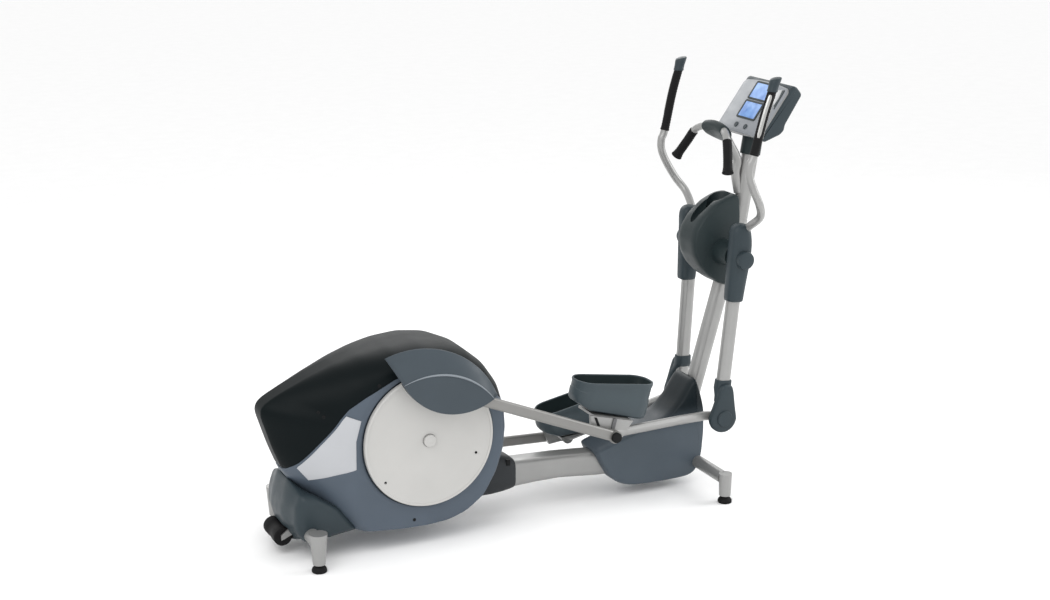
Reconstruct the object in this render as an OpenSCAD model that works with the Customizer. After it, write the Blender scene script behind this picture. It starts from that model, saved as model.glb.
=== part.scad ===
// Rear-drive elliptical trainer: crank wheels in a rear casing, rigid bent pedal links, two swing
// arms on a forward-leaning mast, a fixed handlebar and a console. X runs forward to the console,
// Y to the machine's left, Z up. The origin is on the floor, at the middle of the length and width.

/* [Drive] */
// Distance of the crank axis behind the origin
hub_back = 517; // [460:1:540]
// Height of the crank axis above the floor
hub_z = 426; // [420:1:440]
// Crank radius, from the axis to the crank pin
crank_r = 230; // [215:1:235]
// Radius of the visible crank wheel
wheel_r = 260; // [255:1:264]
// Radius of the large drive pulley
pulley_r = 150; // [130:1:160]
// Radius of the small pulley on the flywheel shaft
small_pulley_r = 32; // [28:1:40]
// Radius of the flywheel
flywheel_r = 130; // [110:1:135]

/* [Arms and links] */
// Height of the swing arm pivot above the floor
pivot_z = 988; // [975:1:1000]
// Distance of the swing arm pivot in front of the crank axis
pivot_reach = 1355; // [1340:1:1370]
// Length of a swing arm from its pivot down to the link pin
arm_len = 662; // [655:1:668]
// Straight distance from the crank pin to the link pin
link_len = 1328; // [1320:1:1336]
// Distance of each hand grip from the middle plane
grip_y = 330; // [310:1:340]
// Radius of the bent handle tube
handle_r = 16; // [14:0.5:17]

/* [Frame] */
// Half of the width between the two rear feet
rear_track = 268; // [262:1:280]
// Half of the width between the two front feet
front_track = 304; // [295:1:315]
// Width of the main beam
beam_w = 100; // [90:1:104]
// Fore-and-aft depth of the mast tube
mast_d = 74; // [68:1:78]
// Side-to-side width of the mast tube
mast_w = 56; // [50:1:60]

/* [Casing] */
// Width of the rear casing
casing_w = 410; // [408:1:412]
// Wall thickness of the plastic shells
wall = 4; // [3:0.5:5]
// Tilt of the console face from level
face_tilt = 54.4; // [50:0.1:58]
// Width of the console
console_w = 340; // [320:1:350]

/* [Hidden] */
$fn = 48;

// Colours
silver = [0.76, 0.77, 0.78];
slate = [0.33, 0.38, 0.45];
dark_green = [0.10, 0.14, 0.14];
black = [0.05, 0.05, 0.05];
pale = [0.86, 0.85, 0.83];
steel = [0.6, 0.6, 0.62];

// Clearances
fit = 0.05;
gap = 0.4;

// Four-bar linkage: the right crank pin stands straight up and the left one straight down.
pivot = [pivot_reach, pivot_z];
function link_pin(crank_pin) =
    let (d = norm(pivot - crank_pin),
         u = (pivot - crank_pin) / d,
         a = (link_len * link_len - arm_len * arm_len + d * d) / (2 * d),
         h = sqrt(link_len * link_len - a * a))
    crank_pin + a * u + h * [u[1], -u[0]];
function pin_of(side) = [0, hub_z + (side == "right" ? crank_r : -crank_r)];
function arm_lean(side) = -asin((link_pin(pin_of(side))[0] - pivot_reach) / arm_len);
function link_pitch(side) = asin((pin_of(side)[1] - link_pin(pin_of(side))[1]) / link_len);

// Points along a round stretch from p to q that bulges by s to the left of the way from p to q
function bulge(p, q, s, n = 10) =
    let (c = norm(q - p),
         u = (q - p) / c,
         v = [-u[1], u[0]],
         r = (c * c / 4 + s * s) / (2 * s),
         half = asin(c / 2 / r))
    [for (i = [0:n]) let (a = -half + 2 * half * i / n)
        (p + q) / 2 + u * r * sin(a) + v * (r * cos(a) - (r - s))];

// Placing helpers. Every machine part is drawn with X measured from the crank axis.
module machine() {
    translate([-hub_back, 0, 0]) children();
}
module on_side(side) {
    if (side == "left") mirror([0, 1, 0]) children();
    else children();
}
module on_arm(side) {
    machine() translate([pivot_reach, 0, pivot_z]) rotate([0, arm_lean(side), 0])
        on_side(side) children();
}
module on_link(side) {
    e = link_pin(pin_of(side));
    machine() translate([e[0], 0, e[1]]) rotate([0, link_pitch(side), 0])
        on_side(side) children();
}
module both_sides() {
    children();
    mirror([0, 1, 0]) children();
}

// Shape helpers
module slab(points, half_w) {
    rotate([90, 0, 0]) linear_extrude(height = 2 * half_w, center = true) polygon(points);
}
module plate(points, y0, y1) {
    translate([0, -y0, 0]) rotate([90, 0, 0]) linear_extrude(height = y1 - y0) polygon(points);
}
module disc_y(x, z, r, y0, y1) {
    translate([x, -y0, z]) rotate([90, 0, 0]) cylinder(h = y1 - y0, r = r);
}
module rod(p, q, r) {
    d = q - p;
    translate(p) rotate([0, acos(d[2] / norm(d)), atan2(d[1], d[0])]) cylinder(h = norm(d), r = r);
}
// A round bar swept along smoothed points, with its rings square to the path
function unit(v) = v / norm(v);
function tangent(p, i) = unit(p[min(i + 1, len(p) - 1)] - p[max(i - 1, 0)]);
function smooth(p) =
    concat([p[0]],
        [for (i = [1:len(p) - 2]) each [p[i] + 0.25 * (p[i - 1] - p[i]),
            p[i] + 0.25 * (p[i + 1] - p[i])]],
        [p[len(p) - 1]]);
module bent_rod(points, r, sides = 16) {
    path = smooth(points);
    across = unit(cross(unit(points[len(points) - 1] - points[0]), [0.31, 0.83, 0.46]));
    n = len(path);
    rings = [for (i = [0:n - 1]) let (t = tangent(path, i), u = unit(cross(across, t)),
        v = cross(t, u)) for (k = [0:sides - 1])
        path[i] + r * (u * cos(360 * k / sides) + v * sin(360 * k / sides))];
    faces = concat(
        [[for (k = [0:sides - 1]) k]],
        [[for (k = [sides - 1:-1:0]) (n - 1) * sides + k]],
        [for (i = [0:n - 2], k = [0:sides - 1]) [i * sides + k, (i + 1) * sides + k,
            (i + 1) * sides + (k + 1) % sides, i * sides + (k + 1) % sides]]);
    polyhedron(points = rings, faces = faces, convexity = 6);
}
module oval(long, short) {
    square([long - short, short], center = true);
    for (x = [-1, 1]) translate([x * (long - short) / 2, 0]) circle(d = short);
}
module oval_bar(long, short, h) {
    linear_extrude(height = h) oval(long, short);
}

// ---- Base frame ----
beam_bottom = 88;
cross_x = -466;
cross_z = 112;
axle_x = -540;
axle_z = 74;
front_leg_x = 1255;
front_leg_z = 100;
mast_foot = [1205, 166];
mast_bend = [1470, 1100];
mast_top = [1523, 1440];
mast_lean = atan2(mast_bend[0] - mast_foot[0], mast_bend[1] - mast_foot[1]);
neck_lean = atan2(mast_top[0] - mast_bend[0], mast_top[1] - mast_bend[1]);

beam_outline = [
    [cross_x + 28, beam_bottom], [330, beam_bottom + 6], [430, beam_bottom + 18],
    [620, beam_bottom + 24], [860, beam_bottom + 2], [front_leg_x - 26, beam_bottom],
    [front_leg_x - 26, 165], [1100, 165], [800, 196], [632, 209], [441, 215], [330, 224], [290, 146],
    [cross_x + 28, 146]
];

module main_beam() {
    color(silver) machine() difference() {
        slab(beam_outline, beam_w / 2);
        rotate([90, 0, 0]) linear_extrude(height = beam_w - 8, center = true)
            offset(delta = -4) polygon(beam_outline);
    }
}
module foot_post(x, y, z_top, r_top, r_bottom) {
    translate([x, -y, 30]) difference() {
        cylinder(h = z_top - 30, r1 = r_bottom, r2 = r_top);
        translate([0, 0, -1]) cylinder(h = 62, r = 6 + fit);
    }
}
module rear_cross_leg() {
    color(silver) machine() {
        disc_y(cross_x, cross_z, 28, -rear_track + 20, rear_track - 20);
        both_sides() foot_post(cross_x, rear_track, 150, 34, 24);
        disc_y(axle_x, axle_z, 6, -80, 80);
        both_sides() plate([[axle_x - 10, axle_z - 10], [cross_x - 18, cross_z - 20],
            [cross_x - 18, cross_z + 20], [axle_x - 10, axle_z + 10]], 72, 79);
    }
}
module front_cross_leg() {
    color(silver) machine() {
        disc_y(front_leg_x, front_leg_z, 26, -front_track + 16, front_track - 16);
        both_sides() foot_post(front_leg_x, front_track, 124, 27, 24);
    }
}
module levelling_foot(x, y) {
    color(black) machine() translate([x, -y, 0]) {
        cylinder(h = 12, r = 29);
        translate([0, 0, 12]) cylinder(h = 16, r1 = 29, r2 = 14);
        cylinder(h = 80, r = 6);
    }
}
module rear_right_foot() { levelling_foot(cross_x, rear_track); }
module rear_left_foot() { levelling_foot(cross_x, -rear_track); }
module front_right_foot() { levelling_foot(front_leg_x, front_track); }
module front_left_foot() { levelling_foot(front_leg_x, -front_track); }

module transport_roller() {
    color(black) machine() difference() {
        disc_y(axle_x, axle_z, 36, -70, 70);
        disc_y(axle_x, axle_z, 6 + fit, -80, 80);
    }
}

// ---- Rear casing ----
recess_r = wheel_r + 6;
recess_y = 190;
divider = [
    [-800, 310], [-530, 320], [-492, 362], [-309, 583], [-243, 624], [-127, 682], [0, 704],
    [110, 696], [220, 636], [310, 540], [500, 500], [500, 1000], [-800, 1000]
];
boot_line = [[-800, 300], [-520, 312], [-470, 268], [-297, 94], [-290, 40], [-800, 40]];

module side_profile(inset) {
    translate([4, -2]) circle(r = wheel_r + 36 - inset, $fn = 64);
    polygon([[-270 + inset, 90 + inset - hub_z], [-100, 78 + inset - hub_z],
        [40, 78 + inset - hub_z], [140, 98 + inset - hub_z], [232 - inset, 156 - hub_z]]);
}
module ridge_profile(inset) {
    translate([15, 6]) circle(r = 346 - inset, $fn = 64);
    polygon([[-606 + inset, 566 - hub_z], [-590 + inset, 592 - inset - hub_z],
        [-455, 660 - inset - hub_z], [-314, 722 - inset - hub_z],
        [-516 + inset, 306 - hub_z], [-300, 82 + inset - hub_z],
        [-111, 74 + inset - hub_z], [33, 74 + inset - hub_z]]);
}
// Wide and flat beside the crank wheels, and narrowing to a fin at the rear
module casing_body(inset) {
    translate([0, 0, hub_z]) rotate([90, 0, 0]) hull() {
        linear_extrude(height = casing_w - 2 * inset, center = true) side_profile(inset);
        linear_extrude(height = 76 - 2 * inset, center = true) ridge_profile(inset);
    }
}
module casing_shell() {
    difference() {
        casing_body(0);
        difference() {
            casing_body(wall);
            both_sides() disc_y(0, hub_z, recess_r + wall, recess_y - wall, 300);
        }
        both_sides() disc_y(0, hub_z, recess_r, recess_y, 300);
        disc_y(0, hub_z, 30, -300, 300);
        slab(beam_outline, beam_w / 2 + gap);
    }
}
module side_shell(side) {
    color(slate) machine() on_side(side) difference() {
        casing_shell();
        slab(divider, 400);
        slab(boot_line, 400);
        translate([-900, gap / -2, -10]) cube([1500, 400, 1000]);
    }
}
module right_side_shell() { side_shell("right"); }
module left_side_shell() { side_shell("left"); }
module top_shell() {
    color(dark_green) machine() intersection() {
        casing_shell();
        translate([0, 0, gap]) slab(divider, 300);
    }
}
// The boot is narrow at the rear and spreads to arches over the two rear posts.
module boot_form(inset) {
    hull() {
        slab([[-512 + inset, 304 - inset], [-474, 266 - inset], [-330, 88], [-440, 60],
            [-505, 50], [-536 + inset, 112], [-546 + inset, 160]], 95 - inset);
        slab([[-502 + inset, 130], [-490, 156 - inset], [-440, 170 - inset], [-330, 96],
            [-430, 88]], 190 - inset);
    }
}
module rear_boot() {
    color(slate) machine() difference() {
        boot_form(0);
        translate([0, 0, -wall]) boot_form(wall);
        casing_body(-gap);
        slab([[-460, 40], [-200, 40], [-200, 147], [-460, 147]], beam_w / 2 + gap);
        disc_y(cross_x, cross_z, 29, -300, 300);
        disc_y(axle_x, axle_z, 42, -84, 84);
    }
}
module beam_socket_cover() {
    color(dark_green) machine() difference() {
        slab([[250, 78], [400, 88], [432, 110], [432, 238], [400, 262], [280, 262]], 64);
        slab(beam_outline, beam_w / 2 + gap);
        casing_body(-gap);
    }
}
// Thin pieces that lie on the casing's skin inside a side-view outline
module on_skin(thick) {
    intersection() {
        difference() {
            casing_body(-gap - thick);
            casing_body(-gap);
        }
        both_sides() translate([0, -20, 0]) rotate([90, 0, 0]) linear_extrude(height = 300)
            children();
    }
}
module accent_panels() {
    color(pale) machine() on_skin(2) polygon([[-312, 567], [-268, 543], [-288, 460],
        [-290, 345], [-455, 308], [-489, 357]]);
}
module shell_screws() {
    color(black) machine() on_skin(2)
        for (s = [[-396, 558], [-191, 668], [-62, 150], [190, 630]])
            translate(s) circle(r = 6);
}

// ---- Drive ----
shaft_r = 12.5;
flywheel_x = -280;
flywheel_z = 370;
carrier_y = 50;
belt_y = 106;
idler_r = 24;

module crank_carrier() {
    outline = [[-330, 146], [-425, 270], [-425, 380], [-300, 410], [0, 470], [50, 426], [70, 146]];
    idler = idler_spot();
    color(steel) machine() {
        both_sides() difference() {
            union() {
                plate(outline, carrier_y, carrier_y + 10);
                disc_y(0, hub_z, 28, carrier_y, carrier_y + 32);
                disc_y(flywheel_x, flywheel_z, 22, carrier_y, carrier_y + 20);
                plate([[-330, 120], [-330, 150], [70, 150], [70, 120]], carrier_y, carrier_y + 10);
            }
            disc_y(0, hub_z, shaft_r + fit, 0, 200);
            disc_y(flywheel_x, flywheel_z, 10 + fit, 0, 200);
        }
        disc_y(idler[0], idler[1], 6, -(belt_y + 20), -carrier_y - 5);
    }
}
module brake_yoke() {
    color(black) machine() difference() {
        translate([flywheel_x - flywheel_r - 14, -carrier_y, flywheel_z - 28])
            cube([46, 2 * carrier_y, 56]);
        disc_y(flywheel_x, flywheel_z, flywheel_r + 5, -24, 24);
    }
}
// The idler runs under the middle of the belt's lower stretch.
function belt_angle() =
    let (d = [-flywheel_x, hub_z - flywheel_z])
    atan2(d[1], d[0]) - acos(-(pulley_r - small_pulley_r) / norm(d));
function idler_spot() =
    let (n = [cos(belt_angle()), sin(belt_angle())],
         a = [0, hub_z] + pulley_r * n,
         b = [flywheel_x, flywheel_z] + small_pulley_r * n)
    (a + b) / 2 + n * (idler_r + 3.4);
module belt_loop(extra) {
    hull() {
        translate([0, hub_z]) circle(r = pulley_r + extra, $fn = 72);
        translate([flywheel_x, flywheel_z]) circle(r = small_pulley_r + extra, $fn = 36);
    }
}
module drive_belt() {
    color(black) machine() translate([0, belt_y + 16, 0]) rotate([90, 0, 0])
        linear_extrude(height = 14) difference() {
            belt_loop(2.9);
            belt_loop(0.5);
        }
}
module crankshaft() {
    color(steel) machine() disc_y(0, hub_z, shaft_r, -196, 196);
}
module drive_pulley() {
    color(steel) machine() difference() {
        union() {
            disc_y(0, hub_z, pulley_r, -belt_y - 18, -belt_y);
            disc_y(0, hub_z, 30, -belt_y - 30, -belt_y + 18);
        }
        disc_y(0, hub_z, shaft_r + fit, -200, 0);
        for (a = [0:60:300])
            disc_y(95 * cos(a), hub_z + 95 * sin(a), 28, -belt_y - 40, -belt_y + 40);
    }
}
module flywheel() {
    color(steel) machine() {
        disc_y(flywheel_x, flywheel_z, flywheel_r - 18, -8, 8);
        difference() {
            disc_y(flywheel_x, flywheel_z, flywheel_r, -20, 20);
            disc_y(flywheel_x, flywheel_z, flywheel_r - 20, -30, 30);
        }
        disc_y(flywheel_x, flywheel_z, 10, -belt_y - 20, 75);
        disc_y(flywheel_x, flywheel_z, 26, -30, 30);
        disc_y(flywheel_x, flywheel_z, small_pulley_r, -belt_y - 18, -belt_y);
    }
}
module idler_wheel() {
    idler = idler_spot();
    color(black) machine() difference() {
        disc_y(idler[0], idler[1], idler_r, -belt_y - 16, -belt_y - 2);
        disc_y(idler[0], idler[1], 6 + fit, -belt_y - 40, -belt_y + 40);
    }
}
module crank_wheel(side) {
    pin = pin_of(side);
    color(pale) machine() on_side(side) {
        disc_y(0, hub_z, wheel_r, 214, 220);
        difference() {
            disc_y(0, hub_z, wheel_r, 200, 223);
            disc_y(0, hub_z, wheel_r - 9, 190, 230);
        }
        disc_y(0, hub_z, 40, 196, 216);
        disc_y(0, hub_z, 24, 219, 227);
        disc_y(pin[0], pin[1], 16, 204, 261.5);
    }
}
module right_crank_wheel() { crank_wheel("right"); }
module left_crank_wheel() { crank_wheel("left"); }

// ---- Mast ----
// The neck is a slimmer tube that enters the lower one.
neck_step = 4;
module mast_body(extra, h_extra = 0) {
    translate([mast_foot[0], 0, mast_foot[1]]) rotate([0, mast_lean, 0])
        translate([0, 0, -30]) oval_bar(mast_d + 2 * extra, mast_w + 2 * extra,
            norm(mast_bend - mast_foot) + 30);
    translate([mast_bend[0], 0, mast_bend[1]]) rotate([0, neck_lean, 0])
        translate([0, 0, -4]) oval_bar(mast_d - neck_step + 2 * extra,
            mast_w - neck_step + 2 * extra, norm(mast_top - mast_bend) + 4 + h_extra);
}
module mast() {
    color(silver) machine() difference() {
        mast_body(0);
        mast_body(-3, 20);
        translate([900, -100, -100]) cube([600, 200, 100 + mast_foot[1]]);
    }
}
module mast_neck_cover() {
    color(dark_green) machine() difference() {
        translate([mast_top[0], 0, mast_top[1]]) rotate([0, neck_lean, 0])
            translate([0, 0, -75]) oval_bar(mast_d + 12, mast_w + 12, 72);
        mast_body(gap, 20);
    }
}
module pivot_axle() {
    color(steel) machine() {
        disc_y(pivot_reach, pivot_z, 14, -228, 228);
        disc_y(pivot_reach, pivot_z, 24, -118, 118);
        difference() {
            translate([pivot_reach, -20, pivot_z - 20]) cube([mast_d + 10, 40, 40]);
            mast_body(gap);
        }
    }
}
pocket_r = 40;
module mast_shroud() {
    outline = [[1423, 1212], [1283, 1156], [1228, 1085], [1219, 1037], [1232, 974],
        [1281, 901], [1345, 856], [1396, 836], [1470, 1084]];
    pocket_lean = 14;
    color(dark_green) machine() difference() {
        union() {
            difference() {
                shroud_form(outline, 0);
                shroud_form(outline, wall);
            }
            intersection() {
                shroud_form(outline, 0);
                translate([1325, 0, 1030]) rotate([0, pocket_lean, 0])
                    cylinder(h = 200, r = pocket_r + wall);
            }
            both_sides() disc_y(pivot_reach, pivot_z, 38, 84, 156);
        }
        translate([1325, 0, 1030]) rotate([0, pocket_lean, 0]) translate([0, 0, wall])
            cylinder(h = 300, r = pocket_r);
        disc_y(pivot_reach, pivot_z, 26, -120, 120);
        disc_y(pivot_reach, pivot_z, 15, -200, 200);
        mast_body(gap);
    }
}
module shroud_form(outline, inset) {
    hull() {
        slab(outline_inset(outline, inset), 60 - inset);
        slab(outline_inset(outline, inset + 26), 92 - inset);
    }
}
// Moves every point of an outline towards the outline's middle by a fixed distance.
function outline_inset(points, d) =
    let (mid = [for (k = [0, 1]) sum([for (p = points) p[k]]) / len(points)])
    [for (p = points) p - d * (p - mid) / norm(p - mid)];
function sum(v, i = 0) = i < len(v) ? v[i] + sum(v, i + 1) : 0;

// ---- Front shroud ----
shroud_outline = [[777, 214], [841, 92], [897, 52], [950, 36], [1109, 32], [1228, 38],
    [1266, 62], [1300, 130], [1322, 325], [1284, 418], [1242, 470], [1190, 430], [1141, 372],
    [1090, 318], [1010, 284], [918, 260], [850, 238]];
// Inset of the outline and half width of each layer that rounds the shroud's edge
shroud_steps = [[0, 62], [5, 70], [12, 77], [24, 84]];
module front_shroud(side) {
    color(slate) machine() on_side(side) difference() {
        union() for (i = [0:3]) slab(outline_inset(shroud_outline, shroud_steps[i][0]),
            shroud_steps[i][1]);
        for (i = [0:3]) slab(outline_inset(shroud_outline, shroud_steps[i][0] + wall),
            shroud_steps[i][1] - wall);
        slab(beam_outline, beam_w / 2 + gap);
        mast_body(gap);
        disc_y(front_leg_x, front_leg_z, 27, -200, 200);
        translate([600, gap / -2, 0]) cube([900, 200, 600]);
    }
}
module right_front_shroud() { front_shroud("right"); }
module left_front_shroud() { front_shroud("left"); }

// ---- Fixed handlebar ----
bar_r = 15;
bar_centre = [1345, 0, 1492];
bar_outer = [1285, -200, 1345];
bar_corner = [1325, -118, 1466];
module bar_half(r) {
    bent_rod([bar_centre, bar_corner, bar_outer], r);
}
module stem_path(r) {
    bent_rod([[1460, 0, 1212], [1444, 0, 1290], [1452, 0, 1350], [1410, 0, 1420],
        [1380, 0, 1470], bar_centre], r);
}
module handlebar() {
    color(silver) machine() difference() {
        union() {
            both_sides() bar_half(bar_r);
            translate(bar_centre) sphere(r = bar_r);
            stem_path(bar_r + 3);
        }
        mast_body(gap);
    }
}
function along(p, q, t) = p + t * (q - p);
module handlebar_grips() {
    from = along(bar_corner, bar_outer, 0.12);
    to = along(bar_corner, bar_outer, 1.04);
    flare = along(bar_corner, bar_outer, 0.93);
    color(black) machine() both_sides() difference() {
        union() {
            rod(from, to, bar_r + 4);
            rod(flare, to, bar_r + 7);
        }
        bar_half(bar_r + fit);
    }
}
module handlebar_hood() {
    color(dark_green) machine() difference() {
        hull() {
            translate([1330, 0, 1492]) sphere(r = 28, $fn = 32);
            both_sides() translate([1335, -58, 1480]) sphere(r = 24, $fn = 32);
            translate([1400, 0, 1440]) sphere(r = 30, $fn = 32);
        }
        both_sides() bar_half(bar_r + 1);
        stem_path(bar_r + 4);
        translate(bar_centre) sphere(r = bar_r + 4);
    }
}

// ---- Console ----
face_foot = [1449, 1455];
face_len = 246;
module on_face() {
    machine() translate([face_foot[0], 0, face_foot[1]]) rotate([0, -face_tilt, 0]) children();
}
module console_housing() {
    outline = [[1449, 1455], [1592, 1655], [1640, 1622], [1560, 1500], [1563, 1482],
        [1474, 1442]];
    color(slate) machine() difference() {
        slab(outline, console_w / 2);
        slab(outline_inset(outline, 8), console_w / 2 - wall);
    }
}
key_spots = [[34, -34], [34, 34]];
module console_face() {
    color(pale) on_face() difference() {
        translate([3, -console_w / 2 + 6, gap]) cube([face_len - 6, console_w - 12, 6]);
        for (x = [70, 158]) translate([x, -62, 4]) cube([74, 124, 5]);
        for (k = key_spots) translate([k[0], k[1], 3]) cylinder(h = 8, r = 11 + 0.3);
    }
}
module console_screens() {
    color([0.25, 0.4, 0.75]) on_face()
        for (x = [70, 158]) translate([x + 1, -61, 4.2]) cube([72, 122, 4]);
}
module console_key(spot) {
    color(slate) on_face() translate([spot[0], spot[1], 5]) cylinder(h = 4.5, r = 11);
}
module start_key() { console_key(key_spots[0]); }
module stop_key() { console_key(key_spots[1]); }

// ---- Swing arms: X forward and Z up along the arm, from the arm's pivot ----
arm_y = 187;
tube_d = 60;
tube_w = 40;
handle_path = [[2, -arm_y, 92], [10, -222, 134], [14, -288, 184], [-20, 2 - grip_y, 236],
    [-66, -grip_y, 305], [-90, -grip_y, 356], [-92, -grip_y, 400], [-80, -grip_y, 436]];
grip_path = [[-80, -grip_y, 436], [-55, -grip_y, 590], [-32, -grip_y, 690]];

module arm_column(extra, z0, z1) {
    translate([0, -arm_y, z0]) oval_bar(tube_d + 2 * extra, tube_w + 2 * extra, z1 - z0);
}
module arm_tube(side) {
    color(silver) on_arm(side) difference() {
        union() {
            arm_column(0, -600, 90);
            disc_y(0, 0, 30, 163, 226);
            plate([[-22, -arm_len], [22, -arm_len], [22, -570], [-22, -570]], 200, 209);
            disc_y(0, -arm_len, 26, 199, 226);
        }
        translate([0, -arm_y, -598]) oval_bar(tube_d - 5, tube_w - 5, 560);
        disc_y(0, 0, 14 + fit, 100, 300);
        disc_y(0, -arm_len, 15 + fit, 150, 300);
    }
}
module right_arm_tube() { arm_tube("right"); }
module left_arm_tube() { arm_tube("left"); }

module upper_sleeve(side) {
    outline = [[-55, 122], [-20, 140], [10, 140], [35, 100], [45, 37], [40, -45], [32, -178],
        [-42, -178], [-50, -53]];
    color(slate) on_arm(side) difference() {
        union() {
            plate(outline, 159, 232);
            disc_y(0, 0, 36, 231, 254);
        }
        plate(outline_inset(outline, 5), 162, 229);
        arm_column(gap, -200, 91);
        disc_y(0, 0, 31, 162, 229);
        disc_y(0, 0, 16, 100, 229);
        bent_rod(handle_path, handle_r + 1);
    }
}
module right_upper_sleeve() { upper_sleeve("right"); }
module left_upper_sleeve() { upper_sleeve("left"); }

module lower_sleeve(side) {
    color(slate) on_arm(side) difference() {
        union() {
            hull() {
                translate([0, -arm_y, -512]) oval_bar(tube_d + 8, tube_w + 8, 4);
                disc_y(0, -arm_len, 62, 205, 232);
            }
            disc_y(0, -arm_len, 34, 231, 240);
        }
        arm_column(gap, -601, -400);
        plate([[-23, -arm_len], [23, -arm_len], [23, -569], [-23, -569]], 198, 210);
        disc_y(0, -arm_len, 27, 150, 228);
        translate([-120, -198.5, -arm_len - 120]) cube([240, 100, 182]);
    }
}
module right_lower_sleeve() { lower_sleeve("right"); }
module left_lower_sleeve() { lower_sleeve("left"); }

module handle_sweep(extra) {
    bent_rod(concat(handle_path, [grip_path[1], grip_path[2]]), handle_r + extra);
}
module handle(side) {
    color(silver) on_arm(side) difference() {
        handle_sweep(0);
        arm_column(0, 0, 90);
    }
}
module right_handle() { handle("right"); }
module left_handle() { handle("left"); }

// The rubber grip with the two bright pulse plates let into it
module grip(side) {
    color(black) on_arm(side) {
        difference() {
            bent_rod([grip_path[0], grip_path[1], along(grip_path[1], grip_path[2], 0.96)],
                handle_r + 4);
            handle_sweep(fit);
        }
        difference() {
            rod(along(grip_path[0], grip_path[1], 0.3), grip_path[1], handle_r + 6);
            rod(grip_path[0], along(grip_path[0], grip_path[1], 1.2), handle_r + 4 + fit);
            translate([-200, -grip_y - 12, 300]) cube([400, 24, 500]);
        }
    }
}
module right_grip() { grip("right"); }
module left_grip() { grip("left"); }

module grip_cap(side) {
    top = grip_path[2];
    color(slate) on_arm(side) translate(top) difference() {
        hull() {
            translate([2, 0, 4]) cylinder(h = 6, r = handle_r + 5, $fn = 32);
            translate([12, 0, 44]) sphere(r = 9, $fn = 32);
        }
        translate([0, 0, -10]) cylinder(h = 11, r = handle_r + 6);
    }
}
module right_grip_cap() { grip_cap("right"); }
module left_grip_cap() { grip_cap("left"); }

// The floating bush turns in the arm's boss, and the link's pin turns in the bush.
module link_bush(side) {
    color([0.72, 0.55, 0.25]) on_arm(side) difference() {
        disc_y(0, -arm_len, 15, 199, 226);
        disc_y(0, -arm_len, 11 + fit, 190, 230);
    }
}
module right_link_bush() { link_bush("right"); }
module left_link_bush() { link_bush("left"); }

// ---- Pedal links: the crank pin end is towards -X, the origin is the pin at the arm ----
knee = [-524, -110];
rear_y = 285;
front_y = 251;
rear_bar_w = 24;
rear_link_tilt = atan2(knee[1], link_len + knee[0]);
module rear_bar(extra) {
    translate([-link_len, -rear_y, 0]) rotate([0, 90 - rear_link_tilt, 0])
        oval_bar(44 + 2 * extra, rear_bar_w + 2 * extra, norm([link_len + knee[0], knee[1]]));
}
module rear_link(side) {
    color(silver) on_link(side) {
        rear_bar(0);
        disc_y(-link_len, 0, 26, 262, 298);
        disc_y(knee[0], knee[1], 26, 272, 298);
        disc_y(knee[0], knee[1], 17, 297, 307);
    }
}
module right_rear_link() { rear_link("right"); }
module left_rear_link() { rear_link("left"); }

module front_link(side) {
    color(silver) on_link(side) {
        bent_rod([[knee[0], -front_y, knee[1]], [-84, -177, -14], [-10, -177, -4]], 19);
        disc_y(knee[0], knee[1], 24, 236, 271.5);
        disc_y(0, 0, 26, 158, 196);
        disc_y(0, 0, 11, 190, 226);
        plate([[-612, -117], [-470, -117], [-440, -46], [-634, -46]], 242, 258);
        plate([[-612, -54], [-440, -54], [-440, -45], [-612, -45]], 110, 244);
    }
}
module right_front_link() { front_link("right"); }
module left_front_link() { front_link("left"); }

lens_rear = [-1463, -5];
lens_front = [-1088, -12];
module link_shroud(side) {
    lens = concat(bulge(lens_rear, lens_front, 66), bulge(lens_front, lens_rear, 82));
    base = concat(bulge([-1546, 80], [-1062, 0], 98), bulge(lens_front, lens_rear, 84));
    color(slate) on_link(side) difference() {
        shroud_cap(lens, base, 0);
        shroud_cap(lens, base, 4);
        rear_bar(gap);
        disc_y(-link_len, 0, 27, 250, 300);
    }
}
module shroud_cap(lens, base, inset) {
    hull() {
        plate(outline_inset(base, inset), 264 - inset, 270);
        plate(outline_inset(lens, inset), 296, 305 - inset);
    }
}
module right_link_shroud() { link_shroud("right"); }
module left_link_shroud() { link_shroud("left"); }

pedal_in = 92;
pedal_out = 238;
module pedal_plan(inset) {
    x0 = -692 + inset;
    x1 = -350 - inset;
    y0 = -pedal_out + inset;
    y1 = -pedal_in - inset;
    r_rear = 58 - inset;
    r_front = 26 - inset;
    hull_free_round(x0, x1, y0, y1, r_rear, r_front);
}
// A rectangle with two corner radii at the rear and two at the front
module hull_free_round(x0, x1, y0, y1, r0, r1) {
    translate([x0 + r0, y0]) square([x1 - x0 - r0 - r1, y1 - y0]);
    translate([x0, y0 + r0]) square([r0 + 1, y1 - y0 - 2 * r0]);
    translate([x1 - r1 - 1, y0 + r1]) square([r1 + 1, y1 - y0 - 2 * r1]);
    for (y = [y0 + r0, y1 - r0]) translate([x0 + r0, y]) circle(r = r0);
    for (y = [y0 + r1, y1 - r1]) translate([x1 - r1, y]) circle(r = r1);
}
module pedal(side) {
    color(slate) on_link(side) difference() {
        intersection() {
            translate([0, 0, -100]) linear_extrude(height = 300) pedal_plan(0);
            slab([[-700, 72], [-340, 109], [-352, -44.5], [-600, -44.5], [-676, -14]], 300);
        }
        intersection() {
            translate([0, 0, -100]) linear_extrude(height = 300) pedal_plan(5);
            slab([[-700, 200], [-340, 200], [-340, 30], [-700, -8]], 300);
        }
    }
}
module right_pedal() { pedal("right"); }
module left_pedal() { pedal("left"); }

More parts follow.
